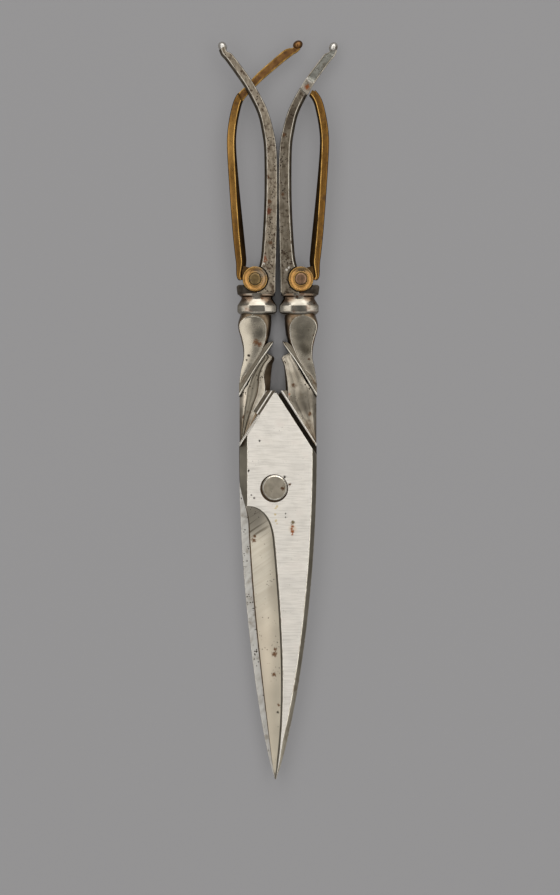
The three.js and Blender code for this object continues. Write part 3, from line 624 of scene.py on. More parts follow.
# %% Arm and rivet finishes
# The two white spots by the left hinge are painted highlights.
arm_steel = old_metal(
    "arm_steel", (0.33, 0.278, 0.21), (0.185, 0.15, 0.107), (0.06, 0.039, 0.025), (0.32, 0.48),
    (1300, 420, 1300), grain_depth=0.4, cloud=800, patina_from=0.5, pit_size=0.36, pit_scale=1500.0,
    pits_from=0.43,
    spots=[(-1.9, 74.6, 1.6, (0.12, 0.045, 0.025)), (-1.5, 77.0, 1.1, BROWN),
           (-3.2, 61.6, 1.5, (0.22, 0.075, 0.035)), (-3.4, 60.2, 0.4, GLINT_WHITE), (-2.9, 60.4, 0.4, GLINT_WHITE),
           (-2.0, 83.8, 0.9, BROWN), (-11.7, 117.0, 0.7, BROWN), (-2.4, 88.2, 0.8, BROWN),
           (-1.2, 66.0, 0.8, BROWN)])
# The two white spots by the right hinge are painted highlights.
dark_arm_steel = old_metal(
    "dark_arm_steel", (0.205, 0.173, 0.13), (0.117, 0.095, 0.067), (0.045, 0.031, 0.02), (0.32, 0.48),
    (1300, 420, 1300), grain_depth=0.4, cloud=800, patina_from=0.5, pit_size=0.36, pit_scale=1500.0,
    pits_from=0.43,
    spots=[(7.5, 107.4, 0.4, PIT), (8.1, 107.4, 0.4, PIT), (8.7, 107.3, 0.4, PIT),
           (3.2, 58.7, 0.5, GLINT_WHITE), (3.8, 59.3, 0.45, GLINT_WHITE), (2.4, 95.0, 0.9, BROWN),
           (2.2, 79.0, 0.7, BROWN)],
    soft_patches=[(4.8, 100.0, 6.0, (0.085, 0.066, 0.047))])
# The sides and chamfers of the steel arms are a darker copy of their steel: painted shade.
arm_flank = old_metal(
    "arm_flank", (0.17, 0.145, 0.11), (0.105, 0.085, 0.06), (0.07, 0.05, 0.032), (0.32, 0.48),
    (700, 300, 700), grain_depth=0.2, cloud=420)
# Bright edges of the steel arms and their filed slopes: worn bright, with a painted highlight.
arm_edge = old_metal(
    "arm_edge", (0.46, 0.415, 0.345), (0.28, 0.243, 0.19), (0.09, 0.064, 0.044), (0.26, 0.4),
    (900, 500, 900), grain_depth=0.15, cloud=420, patina_from=0.56,
    # The two white spots beside the rust at the right arm's step are painted highlights.
    spots=[(8.7, 108.2, 1.1, RUST), (9.5, 109.9, 0.9, GLINT_WHITE), (9.0, 110.4, 0.7, GLINT_WHITE)])
panel_steel = old_metal(
    "panel_steel", (0.29, 0.283, 0.247), (0.19, 0.184, 0.157), (0.105, 0.09, 0.066), (0.28, 0.42),
    (900, 700, 900), grain_depth=0.3, cloud=700, pit_size=0.3, pit_scale=1800.0)
ball_steel = old_metal(
    "ball_steel", (0.66, 0.63, 0.58), (0.5, 0.465, 0.415), (0.24, 0.205, 0.16), (0.28, 0.4),
    (900, 700, 900), grain_depth=0.08, cloud=500)
head_steel = old_metal(
    "head_steel", (0.33, 0.29, 0.228), (0.26, 0.228, 0.175), (0.2, 0.16, 0.11), (0.34, 0.46),
    (900, 500, 900), turn=0.3, grain_depth=0.3, pit_size=0.18,
    spots=[(2.1, -0.2, 0.8, BROWN)])
print("finishes", len(bpy.data.materials))

# %% [markdown]
# ## Finishes of the brass
# Old brass goes from gold to brown. The left limb is the brighter one, so it has soft golden patches. The
# sides of both limbs are nearly black, which is painted shade, and the bright edges are worn and carry a
# painted highlight. The washers have bright rims round a dull dish, with painted shade on the upper right of
# each. The cores of the two hinges differ, one is olive and one is pink, so they are two finishes.

# %% Brass finishes
limb_brass = old_metal(
    "limb_brass", (0.235, 0.118, 0.028), (0.165, 0.08, 0.02), (0.095, 0.05, 0.02), (0.26, 0.4),
    (1500, 130, 1500), grain_depth=0.25, cloud=330, patina_from=0.52, pit_size=0.16,
    soft_patches=[(-12.8, 93.0, 11.0, (0.42, 0.225, 0.058)), (-12.2, 78.0, 8.0, (0.31, 0.162, 0.043)),
             (-10.6, 62.0, 7.0, (0.17, 0.085, 0.022))])
# The sides and chamfers of the brass limbs and forks are a nearly black copy of the brass: painted shade.
dark_brass = old_metal(
    "dark_brass", (0.085, 0.047, 0.017), (0.055, 0.032, 0.014), (0.04, 0.024, 0.012), (0.3, 0.48),
    (900, 200, 900), grain_depth=0.25, cloud=400)
tail_brass = old_metal(
    "tail_brass", (0.245, 0.123, 0.042), (0.16, 0.078, 0.029), (0.095, 0.048, 0.024), (0.3, 0.44),
    (700, 500, 700), grain_depth=0.25, cloud=420, patina_from=0.5, pit_size=0.16)
# Bright brass for edges, filed slopes and the broken notch: worn bright, with a painted highlight.
bright_brass = old_metal(
    "bright_brass", (0.55, 0.32, 0.09), (0.33, 0.18, 0.045), (0.15, 0.08, 0.025), (0.2, 0.34),
    (700, 300, 700), grain_depth=0.12, patina_from=0.54)
# Painted shade: the soft patches on the upper right of each washer's dish.
WASHER_SHADE_TINT = (0.165, 0.13, 0.092)
washer_brass = old_metal(
    "washer_brass", (0.37, 0.195, 0.06), (0.28, 0.147, 0.048), (0.19, 0.115, 0.055), (0.22, 0.36),
    (700, 700, 700), grain_depth=0.15, cloud=420, patina_from=0.54,
    soft_patches=[(-4.0, 57.3, 3.6, WASHER_SHADE_TINT), (7.4, 58.7, 2.6, (0.2, 0.135, 0.07))])
# The soft patches on the upper right of the rims are painted shade.
washer_rim = old_metal(
    "washer_rim", (0.56, 0.325, 0.1), (0.42, 0.235, 0.075), (0.28, 0.165, 0.065), (0.2, 0.34),
    (700, 700, 700), grain_depth=0.12, cloud=420, patina_from=0.58,
    soft_patches=[(-3.4, 57.8, 3.4, (0.23, 0.187, 0.135)), (8.6, 58.8, 2.4, (0.24, 0.165, 0.085))])
core_metal = old_metal(
    "core_metal", (0.2, 0.135, 0.058), (0.145, 0.098, 0.045), (0.1, 0.07, 0.04), (0.3, 0.46),
    (1200, 700, 1200), grain_depth=0.4, cloud=600)
pink_core = old_metal(
    "pink_core", (0.24, 0.14, 0.085), (0.165, 0.1, 0.06), (0.1, 0.066, 0.043), (0.28, 0.42),
    (1200, 700, 1200), grain_depth=0.4, cloud=600)
print("finishes", len(bpy.data.materials))

# %% [markdown]
# ## Blade and plate
# Each blade is ground hollow from its edge: a long scoop with an arched top, beside a flat that carries the
# pivot. Its section therefore changes from a bevelled plate to a hooked shape. A skin over such sections
# keeps the wall of the scoop, the spine bevel and the flat as strips of their own, so each gets its own
# grinding finish. The seat of the rivet head and its hole are turned cutters.

# %% Sizes of the blade
PARTING_HALF = 0.1
PLATE_THICK = 3.4
POINT_THICK = 1.1
RICASSO_HALF_WIDTH = 10.45
POINT_OFFSET = 0.68
SPINE_BEVEL = 1.2
SPINE_BEVEL_DROP = 1.1
RICASSO_BEVEL = 2.2
RICASSO_BEVEL_DROP = 1.6
EDGE_INSET = 2.0
EDGE_THICK = 0.35
EDGE_START = 2.5
EDGE_FULL = -9.5
HOLLOW_TOP = -4.9
HOLLOW_ARCH = 10.5
HOLLOW_WALL = 0.55
HOLLOW_TOP_STEP = 0.25
HOLLOW_SAG = 0.35
HOLLOW_SHARES = (0.29, 0.69)
OUTLINE_TAPER = 1.9
OUTLINE_FULLNESS = 0.82
SHOULDER_LAP = 0.6
PIVOT_HOLE = 2.28
HEAD_SEAT_GAP = 0.38
HEAD_SEAT_DEPTH = 0.5
HEAD_SEAT_WEAR = (-0.16, -0.2, 0)
CUTTER_END = 9
GABLE_APEX = Vector((-0.3, 25.5))
GABLE_FOOT = Vector((RICASSO_HALF_WIDTH, 8.8))
SHOULDER_GAP = 1.1
PLATE_FACE = PARTING_HALF + PLATE_THICK
BLADE_LENGTH = BLADE_REACH + GABLE_FOOT.y

gable_along = (GABLE_FOOT - GABLE_APEX).normalized()
gable_out = Vector((-gable_along.y, gable_along.x))
shoulder_top = (GABLE_APEX + gable_out * SHOULDER_GAP) * Vector((-1, 1))
shoulder_foot = (GABLE_FOOT + gable_out * SHOULDER_GAP) * Vector((-1, 1))
shoulder_back = gable_out * Vector((-1, 1))
FLAT, HOLLOW, INNER, BEVEL, EDGE, SEAT = range(6)
print(f"blade {BLADE_LENGTH:.1f} mm from shoulder to point")


# %% The blade's section at any height
def shoulder_at(y):
    """The shoulder line at a height, carried on past its ends."""
    drop = (shoulder_top.y - y) / (shoulder_top.y - shoulder_foot.y)
    return mix(shoulder_top.x, shoulder_foot.x, drop)


def blade_outline(y, lean):
    """How far down the blade a height is, its edge and spine there, and the level of its face."""
    share = min(max((GABLE_FOOT.y - y) / BLADE_LENGTH, 0), 1)
    half = max(RICASSO_HALF_WIDTH * (1 - share ** OUTLINE_TAPER) ** OUTLINE_FULLNESS, 0.2)
    centre = lean * POINT_OFFSET * share ** 3
    growth = smoothstep(EDGE_START - y, 0, EDGE_START - EDGE_FULL)
    edge = centre - half + EDGE_INSET * growth * (1 - share ** 6)
    thinning = min(max((HOLLOW_TOP - y) / (HOLLOW_TOP + BLADE_REACH), 0), 1)
    face = PARTING_HALF + mix(PLATE_THICK, POINT_THICK, thinning)
    return share, edge, centre + half, face


def blade_section(y, reach, lean):
    """The section's corners: inner face, spine, bevel, flat, wall of the scoop, and scoop to the edge."""
    share, edge, spine, face = blade_outline(y, lean)
    bevel = SPINE_BEVEL * min(1, (spine - edge) / (4 * SPINE_BEVEL))
    if y > GABLE_FOOT.y:
        climb = (y - GABLE_FOOT.y) / (GABLE_APEX.y - GABLE_FOOT.y)
        spine = mix(GABLE_FOOT.x, GABLE_APEX.x, climb)
        edge = max(-RICASSO_HALF_WIDTH, shoulder_at(y) - SHOULDER_LAP)
        bevel = max(0.12, spine - (RICASSO_HALF_WIDTH - SPINE_BEVEL))
    bevel_line = RICASSO_BEVEL - RICASSO_HALF_WIDTH
    hollow_end = edge + max((spine - edge) * reach * mix(*HOLLOW_SHARES, share), 0.01)
    run_out = smoothstep(HOLLOW_TOP - y, 0, HOLLOW_ARCH)
    low = mix(face - HOLLOW_TOP_STEP, PARTING_HALF + EDGE_THICK, run_out)
    high = face - mix(HOLLOW_TOP_STEP, min(HOLLOW_WALL, 0.4 * POINT_THICK), run_out)
    sag = HOLLOW_SAG * run_out * (1 - share)
    arch_foot = HOLLOW_TOP - HOLLOW_ARCH
    wall = max(hollow_end, min(bevel_line, spine), edge + 0.01) if y > arch_foot else hollow_end

    def floor_at(x):
        bevelled = face
        if y >= arch_foot:
            bevelled -= max(bevel_line - x, 0) * RICASSO_BEVEL_DROP / RICASSO_BEVEL
        across = (x - edge) / (hollow_end - edge)
        scooped = mix(low, high, across) - 4 * sag * across * (1 - across)
        ground = scooped if reach > 0 and x <= hollow_end + 1e-6 else face
        return max(min(bevelled, ground), PARTING_HALF + 0.05)

    bevel_drop = SPINE_BEVEL_DROP * bevel / SPINE_BEVEL * face / PLATE_FACE
    wall_run = min(HOLLOW_WALL, 0.3 * (wall - edge)) if reach > 0 else 0.1 * (wall - edge)
    corners = [(edge, PARTING_HALF, 0, INNER), (spine, PARTING_HALF, 0.08, BEVEL),
               (spine, face - bevel_drop, 0.12, BEVEL), (spine - bevel, face, 0.14, FLAT)]
    flat_columns, floor_columns = 6, 18
    for i in range(1, flat_columns):
        corners.append((mix(spine - bevel, wall, i / flat_columns), face, 0, FLAT))
    corners.append((wall, face, 0.1, BEVEL))
    for i in range(floor_columns + 1):
        x = mix(wall - wall_run, edge, i / floor_columns)
        corners.append((x, floor_at(x), 0, HOLLOW if i < floor_columns - 1 else SEAT))
    return corners


print("corners of a section", len(blade_section(HOLLOW_TOP, 0, 1)))


# %% Both blades
def blade_rows():
    """Heights from the gable's apex to the point, with the reach of the hollow at each."""
    rows = [(mix(GABLE_APEX.y, GABLE_FOOT.y, i / 20), 0) for i in range(20)]
    rows += [(mix(GABLE_FOOT.y, HOLLOW_TOP, i / 16), 0) for i in range(16)]
    roundness = 2 / 2.6
    arch_foot = HOLLOW_TOP - HOLLOW_ARCH
    for i in range(19):
        angle = math.pi / 2 * (0.985 - 0.975 * i / 18)
        rows.append((arch_foot + HOLLOW_ARCH * math.sin(angle) ** roundness, math.cos(angle) ** roundness))
    rows += [(mix(arch_foot, -BLADE_REACH, i / 56), 1) for i in range(1, 57)]
    return rows


def blade(lean):
    rings = []
    for y, reach in blade_rows():
        points, strips = soften(blade_section(y, reach, lean), EDGE)
        rings.append([Vector((x, y, z)) for x, z in points])
    bm = skin(rings, strips)
    for face in bm.faces:
        if face.material_index == HOLLOW and face.calc_center_median().y > HOLLOW_TOP:
            face.material_index = BEVEL
    seat_radius = HEAD_RADIUS + HEAD_SEAT_GAP
    seat_floor = PLATE_FACE - HEAD_SEAT_DEPTH
    above = PLATE_FACE + 3
    drill = turned([(0, -CUTTER_END), (PIVOT_HOLE, -CUTTER_END), (PIVOT_HOLE, seat_floor),
                    (seat_radius, seat_floor), (seat_radius, above), (0, above)])
    worn = [vert for vert in drill.verts if math.hypot(vert.co.x, vert.co.y) > PIVOT_HOLE + 0.1]
    bmesh.ops.translate(drill, verts=worn, vec=HEAD_SEAT_WEAR)
    bmesh.ops.translate(drill, verts=drill.verts, vec=(lean * PIVOT_OFFSET, 0, 0))
    return cut_away(bm, finished(drill, SEAT))


sides = [
    {"label": "left", "layer": "front", "half": "front_half", "matrix": as_drawn, "lean": -1},
    {"label": "right", "layer": "rear", "half": "rear_half", "matrix": turned_over, "lean": 1},
]
# The seat of the pivot head takes the near black brown last finish: painted shade.
blade_finishes = [brushed_flat, hollow_grind, inner_face, dark_bevel, worn_edge_sheen, dark_seat_and_edge]
for side in sides:
    thing = piece(side["layer"] + "_blade", blade(side["lean"]), side["matrix"], side["half"],
                  side["layer"] + "_blade_half", blade_finishes)
    print(thing.name, len(thing.data.polygons), "faces")

# %% [markdown]
# ## Carved shank
# Between plate and collar the shank is carved with a fluted leaf, a raised band that wraps across it and a
# teardrop facet. A step and a thin lip run along its shoulder. One sculpted mesh would blur the rims where
# these forms meet, so each form is a skin of its own sunk into the next, as a carver cuts one form against
# another. The rims are the bright lines that the eye follows.

# %% Sizes of the shank
HANDLE_HALF_WIDTH = 10.35
LEAF_HALF_DEPTH = 3.85
STEP_HALF_DEPTH = 3.9
STEP_WIDTH = 2.2
STEP_CHAMFER = 0.9
LIP_WIDTH = 0.55
LIP_HALF_DEPTH = 3.9
BAND_HALF_DEPTH = 3.8
BAND_FALL = 0.6
BAND_HALF_WIDTH = 0.75
BAND_PROUD = 0.12
TEARDROP_HALF_DEPTH = 3.35
TEARDROP_LENGTH = 17.5
FACET_DISH = 0.3
FACET_LEAN = 0.5
BACK_DISH = 0.16
FULL_FACET_WIDTH = 6
WIDEST_FACET = 0.97
FLANK_FULLNESS = 0.7
FLANK_RISE = 0.8
LEAF_TIP_DROP = 1.7
LEAF_FLANK_RUNS = (0.6, 0.15)
LEAF_FLANK_NARROWS = (26, 35)
GROOVE_FLOOR = 2.1
GROOVE_START = 2.4
COLLAR_X = 5.65
COLLAR_Y = 48.2
COLLAR_HALF_WIDTH = 5.3
COLLAR_LENGTH = 5.9
COLLAR_BULGE_SHARE = 0.29
collar_bottom = COLLAR_Y - COLLAR_BULGE_SHARE * COLLAR_LENGTH
collar_top = collar_bottom + COLLAR_LENGTH
CARVED, RIM, FACET, FLANK, FLUTE, OUTER, GROOVE = range(7)
print(f"shank from {GABLE_FOOT.y:.1f} to {collar_bottom:.1f} mm above the pivot")

# %% The line of the band
band_stations = [
    (-HANDLE_HALF_WIDTH * across, collar_bottom - TEARDROP_LENGTH * drop, BAND_HALF_WIDTH * width)
    for across, drop, width in [(0.121, 0.406, 0.16), (0.27, 0.491, 1), (0.483, 0.674, 0.87),
                                (0.715, 0.88, 1), (1, 1.143, 1.33), (1.097, 1.234, 1.33)]]
print(f"band from {band_stations[-1][1]:.1f} up to {band_stations[0][1]:.1f} mm")


# %% The leaf
LEAF_COLUMNS = 9


def leaf_face(left, width, grooved, depth_share, finishes):
    """Points from the rim outwards: a strip, a broad flute and a strip that falls into the groove."""
    scoop = min(0.42, 0.15 * width) * depth_share
    crests = [(1, LEAF_HALF_DEPTH), (0.74, LEAF_HALF_DEPTH - 0.2), (0.31, LEAF_HALF_DEPTH - 0.32)]
    low_crest = crests[-1][1]
    shares = [i / LEAF_COLUMNS for i in range(1, LEAF_COLUMNS + 1)]
    points = []
    for (far, top), (near, end), share, finish in zip(crests, crests[1:], (0.25, 1), finishes):
        for t in shares:
            z = mix(top, end, t) - 4 * share * scoop * t * (1 - t)
            points.append((left + mix(far, near, t) * width, z, 0, finish))
    if FLUTE in finishes:
        points[LEAF_COLUMNS - 1] = (*points[LEAF_COLUMNS - 1][:3], FLANK)
    points[-1] = (*points[-1][:3], CARVED)
    groove_edge = min(BAND_HALF_WIDTH + 0.65, 0.22 * width)
    for i, t in enumerate(shares):
        across = 0.32 * width * (1 - t)
        plain = mix(low_crest, 0.66 * LEAF_HALF_DEPTH, t * t)
        out_of_groove = smoothstep(across, 0.75 * groove_edge, 1.15 * groove_edge)
        sunk = mix(GROOVE_FLOOR, low_crest - 0.1, out_of_groove)
        finish = CARVED if i < LEAF_COLUMNS - 5 else OUTER
        points.append((left + across, mix(plain, sunk, grooved), 0, finish))
    return points


def leaf():
    tip = band_stations[1][1] - LEAF_TIP_DROP
    start = 0.036

    def rising(*stations):
        return curve(*[(mix(GABLE_FOOT.y, tip, share), -HANDLE_HALF_WIDTH * across)
                       for share, across in stations])

    outer = curve(*[(y, x) for x, y, _ in reversed(band_stations)])
    inner = rising((start, 0.203), (0.646, 0.203), (0.883, 0.155), (0.971, 0.121), (1, 0.28))
    rim = rising((start, 0.966), (0.299, 0.734), (0.482, 0.522), (0.628, 0.348), (0.788, 0.367),
                 (0.883, 0.29), (0.971, 0.169), (1, 0.3))
    rows = 72
    rings = []
    for row in range(rows + 1):
        y = mix(GABLE_FOOT.y, tip, 1 - (1 - start) * row / rows)
        left = max(outer(y), -HANDLE_HALF_WIDTH)
        ridge = max(rim(y), left + 0.4)
        right = max(inner(y), ridge + 0.1)
        flank_top = 0.55 * LEAF_HALF_DEPTH
        grooved = smoothstep(outer(y) + HANDLE_HALF_WIDTH, 0, GROOVE_START)
        upper = [(right, flank_top, 0.1, FLANK), (ridge, LEAF_HALF_DEPTH, 0.16, CARVED)]
        upper += leaf_face(left, ridge - left, grooved, 1, (CARVED, FLUTE))
        flank_run = mix(*LEAF_FLANK_RUNS, smoothstep(y, *LEAF_FLANK_NARROWS))
        back_ridge = max(min(shoulder_at(y) - SHOULDER_LAP, right - flank_run), left + 0.4)
        back = leaf_face(left, back_ridge - left, grooved, 0.45, (CARVED, CARVED))
        lower = [(x, -z, 0, finish) for x, z, _, finish in reversed(back)]
        lower += [(back_ridge, -LEAF_HALF_DEPTH, 0.16, FLANK), (right, -flank_top, 0.1, FLANK)]
        points, strips = soften([*upper, *lower], RIM)
        rings.append([Vector((x, y, z)) for x, z in points])
    body = skin(rings, strips)
    for face in body.faces:
        if face.material_index == OUTER:
            grooved = face.calc_center_median().y > collar_bottom - 1.05 * TEARDROP_LENGTH
            face.material_index = GROOVE if grooved else CARVED
    return keep_side(body, (shoulder_top.x, shoulder_top.y, 0), (-shoulder_back.x, -shoulder_back.y, 0))


# %% The strip for its step and its lip
def strip_along_shoulder(start, end, width, half_depth, chamfer):
    """A strip beside the shoulder line, with a broad chamfer on its front and a narrow one on its back."""
    back_chamfer = 0.22
    corners = [(0, back_chamfer - half_depth, 0.1, FLANK), (0, half_depth - 0.5 * chamfer, 0.1, CARVED),
               (chamfer, half_depth, 0.16, CARVED), (width, half_depth, 0.12, FLANK),
               (width, 0.7 - half_depth, 0.12, CARVED), (back_chamfer + 0.2, -half_depth, 0.1, RIM)]
    points, strips = soften(corners, RIM)
    rows = 12
    rings = []
    for row in range(rows + 1):
        base = shoulder_top.lerp(shoulder_foot, mix(start, end, row / rows))
        rings.append([Vector((*(base + shoulder_back * back), z)) for back, z in points])
    bm = skin(rings, strips)
    bm = keep_side(bm, (0, shoulder_top.y, 0), (0, 1, 0))
    return keep_side(bm, (-HANDLE_HALF_WIDTH, 0, 0), (-1, 0, 0))


# %% The band and the teardrop
def band():
    rows, fall_columns = 60, 8
    stations = [(x, y, half, half) for x, y, half in band_stations]
    rings = []
    for centre, along, half, _ in path_through(stations, rows):
        upper = [(half, BAND_HALF_DEPTH - 0.5, 0, FLANK), (0.92 * half, BAND_HALF_DEPTH, 0.1, RIM)]
        for i in range(fall_columns + 1):
            t = i / fall_columns
            fall = BAND_FALL * (0.1 + 0.9 * t ** 0.7)
            upper.append((mix(0.5 * half, -half, t), BAND_HALF_DEPTH - fall, 0, CARVED if i < 4 else FLUTE))
        upper[-1] = (*upper[-1][:3], FLANK)
        lower = [(x, -z, radius, finish) for (x, z, radius, _), (_, _, _, finish) in
                 zip(reversed(upper), [*reversed(upper[:-1]), (0, 0, 0, FLANK)])]
        points, strips = soften([*upper, *lower], RIM)
        rings.append([Vector((centre.x - along.y * x, centre.y + along.x * x, z)) for x, z in points])
    bm = skin(rings, strips)
    bm = keep_side(bm, (-HANDLE_HALF_WIDTH - BAND_PROUD, 0, 0), (-1, 0, 0))
    bm.normal_update()
    for face in bm.faces:
        if face.normal.x < -0.98:
            face.material_index = OUTER
    return bm


def teardrop_half(middle, half, left, right, dish_depth, lean):
    """Points from the inner side over the facet to the outer side. The facet leans towards the inner side."""
    facet_columns, flank_columns = 12, 8
    width_share = min(1, (left + right) / FULL_FACET_WIDTH)
    top, side_top = TEARDROP_HALF_DEPTH, TEARDROP_HALF_DEPTH - lean * width_share

    def flank(side, facet_edge, height, share):
        angle = math.pi / 2 * share
        out = mix(facet_edge, half, math.cos(angle) ** FLANK_FULLNESS)
        return middle + side * out, height * math.sin(angle) ** FLANK_RISE, 0, FLANK

    points = [flank(1, right, side_top, i / flank_columns) for i in range(flank_columns)]
    points.append((middle + right, side_top, 0.12, FACET))
    for i in range(1, facet_columns):
        t = i / facet_columns
        dish = dish_depth * 4 * t * (1 - t) * width_share
        points.append((middle + mix(right, -left, t), mix(side_top, top, t) - dish, 0, FACET))
    points.append((middle - left, top, 0.12, FLANK))
    return points + [flank(-1, left, top, 1 - i / flank_columns) for i in range(1, flank_columns + 1)]


def teardrop():
    centre = curve((-1, -3.95), (-0.8, -2.45), (-0.657, -1.5), (-0.514, -0.85), (-0.371, -0.55),
                   (-0.154, -0.65), (0.029, -0.25))
    width = curve((-1, 0.15), (-0.8, 0.33), (-0.657, 0.415), (-0.514, 0.557), (-0.371, 0.708),
                  (-0.154, 0.85), (0.029, 0.774))
    facet_right = curve((-1.03, -10.0), (-0.937, -9.05), (-0.84, -7.4), (-0.674, -5.6), (-0.537, -4.46),
                        (-0.382, -3.56), (-0.228, -3.24), (-0.14, -3.5), (-0.075, -4.2), (-0.03, -5.2),
                        (-0.008, -6.4), (0.03, -6.7))
    facet_left = curve((-1.03, -10.3), (-0.84, -9.85), (-0.72, -9.26), (-0.502, -9.05), (-0.35, -9.6),
                       (-0.215, -10.3), (-0.14, -10.2), (-0.075, -9.45), (-0.03, -8.3), (-0.008, -7.1),
                       (0.03, -6.8))
    rows, top_share, span = 84, 0.029, 1.07
    rings = []
    for row in range(rows + 1):
        share = top_share - span * row / rows
        y = collar_bottom + TEARDROP_LENGTH * share
        middle = centre(share) - COLLAR_X
        half = COLLAR_HALF_WIDTH * width(share)
        right = min(facet_right(share) - middle, WIDEST_FACET * half)
        left = min(middle - facet_left(share), WIDEST_FACET * half)
        upper = teardrop_half(middle, half, left, right, FACET_DISH, FACET_LEAN)
        back = teardrop_half(middle, half, left, right, BACK_DISH, 0)
        lower = [(x, -z, radius, finish) for (x, z, radius, _), (_, _, _, finish) in
                 zip(reversed(back[1:-1]), reversed(back[:-2]))]
        points, strips = soften([*upper, *lower], RIM)
        rings.append([Vector((x, y, z)) for x, z in points])
    return skin(rings, strips)


# %% [markdown]
# ## Collar
# The collar is filed with eight sides: a thin top plate, a hollow neck and a broad bulge. Its facets give the
# hard white lights of the handles. Spinning a profile would make it round, so it is a skin over eight-sided
# sections that swell and narrow, and the corners get rounder towards the neck.

# %% The collar
SIDE_HALF_SHARE = 0.71
BULGE_TOP_SHARE, NECK_TOP_SHARE = 0.44, 0.3
NECK_DEPTH = 0.2
SHARPEST_CORNER = 0.4


def collar():
    profile = [(0.71, 0.84), (0.7, 0.885), (0.68, 0.905), (0.66, 0.91), (0.6, 0.91), (0.585, 0.9),
               (0.565, 0.86), (0.54, 0.825), (0.51, 0.806), (0.48, 0.8), (0.45, 0.805), (0.42, 0.82),
               (0.34, 0.868), (0.26, 0.918), (0.18, 0.97), (0.15, 0.99), (0.13, 1), (-0.13, 1),
               (-0.145, 0.993), (-0.21, 0.94), (-0.28, 0.84), (-0.29, 0.81)]
    side = SIDE_HALF_SHARE
    rings = []
    for share, swell in profile:
        narrowing = (1 - swell) / NECK_DEPTH
        top = mix(BULGE_TOP_SHARE, NECK_TOP_SHARE, narrowing)
        directions = [(1, -side), (1, side), (top, 1), (-top, 1),
                      (-1, side), (-1, -side), (-top, -1), (top, -1)]
        corners = [(across * swell * COLLAR_HALF_WIDTH - COLLAR_X, up * swell * REST_HALF_DEPTH,
                    SHARPEST_CORNER + narrowing, CARVED) for across, up in directions]
        points, strips = soften(corners, CARVED)
        rings.append([Vector((x, COLLAR_Y + COLLAR_LENGTH * share, z)) for x, z in points])
    return skin(rings, strips)


# %% [markdown]
# ## Finger bows
# Each bow has an inner arm of steel, forged with its half, and an outer arm of brass. Both are bars with
# chamfered edges, and they end in small ball hooks. Where they cross, each is cut to half its depth, so that
# they pass, and the cut end is filed to a short slope. A bar is a skin over eight-sided sections set square
# to its path, and the half laps are cuts by planes. The steel arm runs down to its collar and carries the
# round seats of the hinge. Beside it a horn stands under the brass heel, and a thin tongue lies between the
# seats.

# %% Sizes and stations of the bow arms
BOW_RISE = 62.7
BOW_REACH = 8.75
ARM_HALF_DEPTH = 2.0
LAP_GAP = 0.3
LAP_STOP_GAP = 0.3
LAP_STEP_GAP = 2.2
BREAK_GAP = 0.55
STEEL_HALF_WIDTH = 1.6
BRASS_HALF_WIDTH = 1.5
HOOK_RADIUS = 1.25
STEEL_CHAMFER = 0.7
BRASS_CHAMFER = 0.45
HEEL_HALF_WIDTH = 0.4
HEEL_DROP = 0.2
BREAK_DEPTH = 0.9
LAP_RIM = 0.28
PANEL_DEPTH = 0.22
PANEL_START = 2.2
END_SLOPE = 0.45
HORN_HALF_DEPTH = 1.67
SEAT_GAP = 0.35
HINGE_HOLE = 1.18
TONGUE_HALF = 0.7
ARM_SWING_DEGREES = 15
TONGUE_INSET = 0.42
ARM_FACE, ARM_FLANK, ARM_EDGE, ARM_PANEL, ARM_SHADE, ARM_BALL = range(6)


def on_bow(across, up):
    return across * BOW_REACH - HINGE_X, up * BOW_RISE + HINGE_Y


crossing = Vector(on_bow(-0.16, 0.827))
arm_foot = (collar_top - 0.9 - HINGE_Y) / BOW_RISE
steel_stations = [
    (*on_bow(across, up), left * STEEL_HALF_WIDTH, right * STEEL_HALF_WIDTH) for across, up, left, right in [
        (0.417, arm_foot, 2.28, 1.2), (0.417, -0.03, 2.28, 1.2), (0.417, 0.025, 2.0, 1.22),
        (0.419, 0.07, 1.46, 1.26), (0.423, 0.125, 1.2, 1.3), (0.451, 0.255, 1.03, 1.24),
        (0.474, 0.383, 1, 1.22), (0.457, 0.555, 0.97, 1.14), (0.377, 0.641, 0.94, 1.0),
        (0.206, 0.729, 0.875, 0.875), (-0.16, 0.827, 0.83, 0.81), (-0.406, 0.88, 0.84, 0.77),
        (-0.709, 0.939, 0.84, 0.7), (-0.811, 0.959, 0.88, 0.62), (-0.868, 0.9695, 0.94, 0.36),
        (-0.912, 0.978, 0.94, 0.22), (-0.99, 0.995, 0.8, 0.5)]]
heel_x = WASHER_RADIUS + HEEL_HALF_WIDTH + 0.06
brass_stations = [
    (-HINGE_X - heel_x, HINGE_Y - HEEL_DROP, HEEL_HALF_WIDTH, HEEL_HALF_WIDTH + 0.3),
    (-HINGE_X - heel_x - 0.36, HINGE_Y + 0.88, 0.84, 1.05)] + [
    (*on_bow(across, up), left * BRASS_HALF_WIDTH, right * BRASS_HALF_WIDTH) for across, up, left, right in [
        (-0.429, 0.069, 0.933, 0.933), (-0.457, 0.116, 1, 1), (-0.526, 0.212, 1, 1),
        (-0.634, 0.384, 0.907, 0.907), (-0.72, 0.557, 0.827, 0.827), (-0.703, 0.643, 0.813, 0.813),
        (-0.594, 0.729, 0.8, 0.8), (-0.457, 0.7815, 0.747, 0.747), (-0.16, 0.827, 0.66, 0.66),
        (0.153, 0.873, 0.74, 0.74), (0.77, 0.9475, 0.8, 0.78), (0.986, 0.9705, 0.84, 0.76),
        (1.109, 0.983, 0.62, 0.74), (1.2, 0.993, 0.24, 0.84), (1.31, 1.006, 0.45, 0.8)]]
steel_hook = on_bow(-1, 1)
brass_hook = on_bow(1.32, 1.01)


def direction_at_crossing(stations):
    at = min(range(len(stations)), key=lambda i: (Vector(stations[i][:2]) - crossing).length)
    return (Vector(stations[at + 1][:2]) - Vector(stations[at - 1][:2])).normalized()


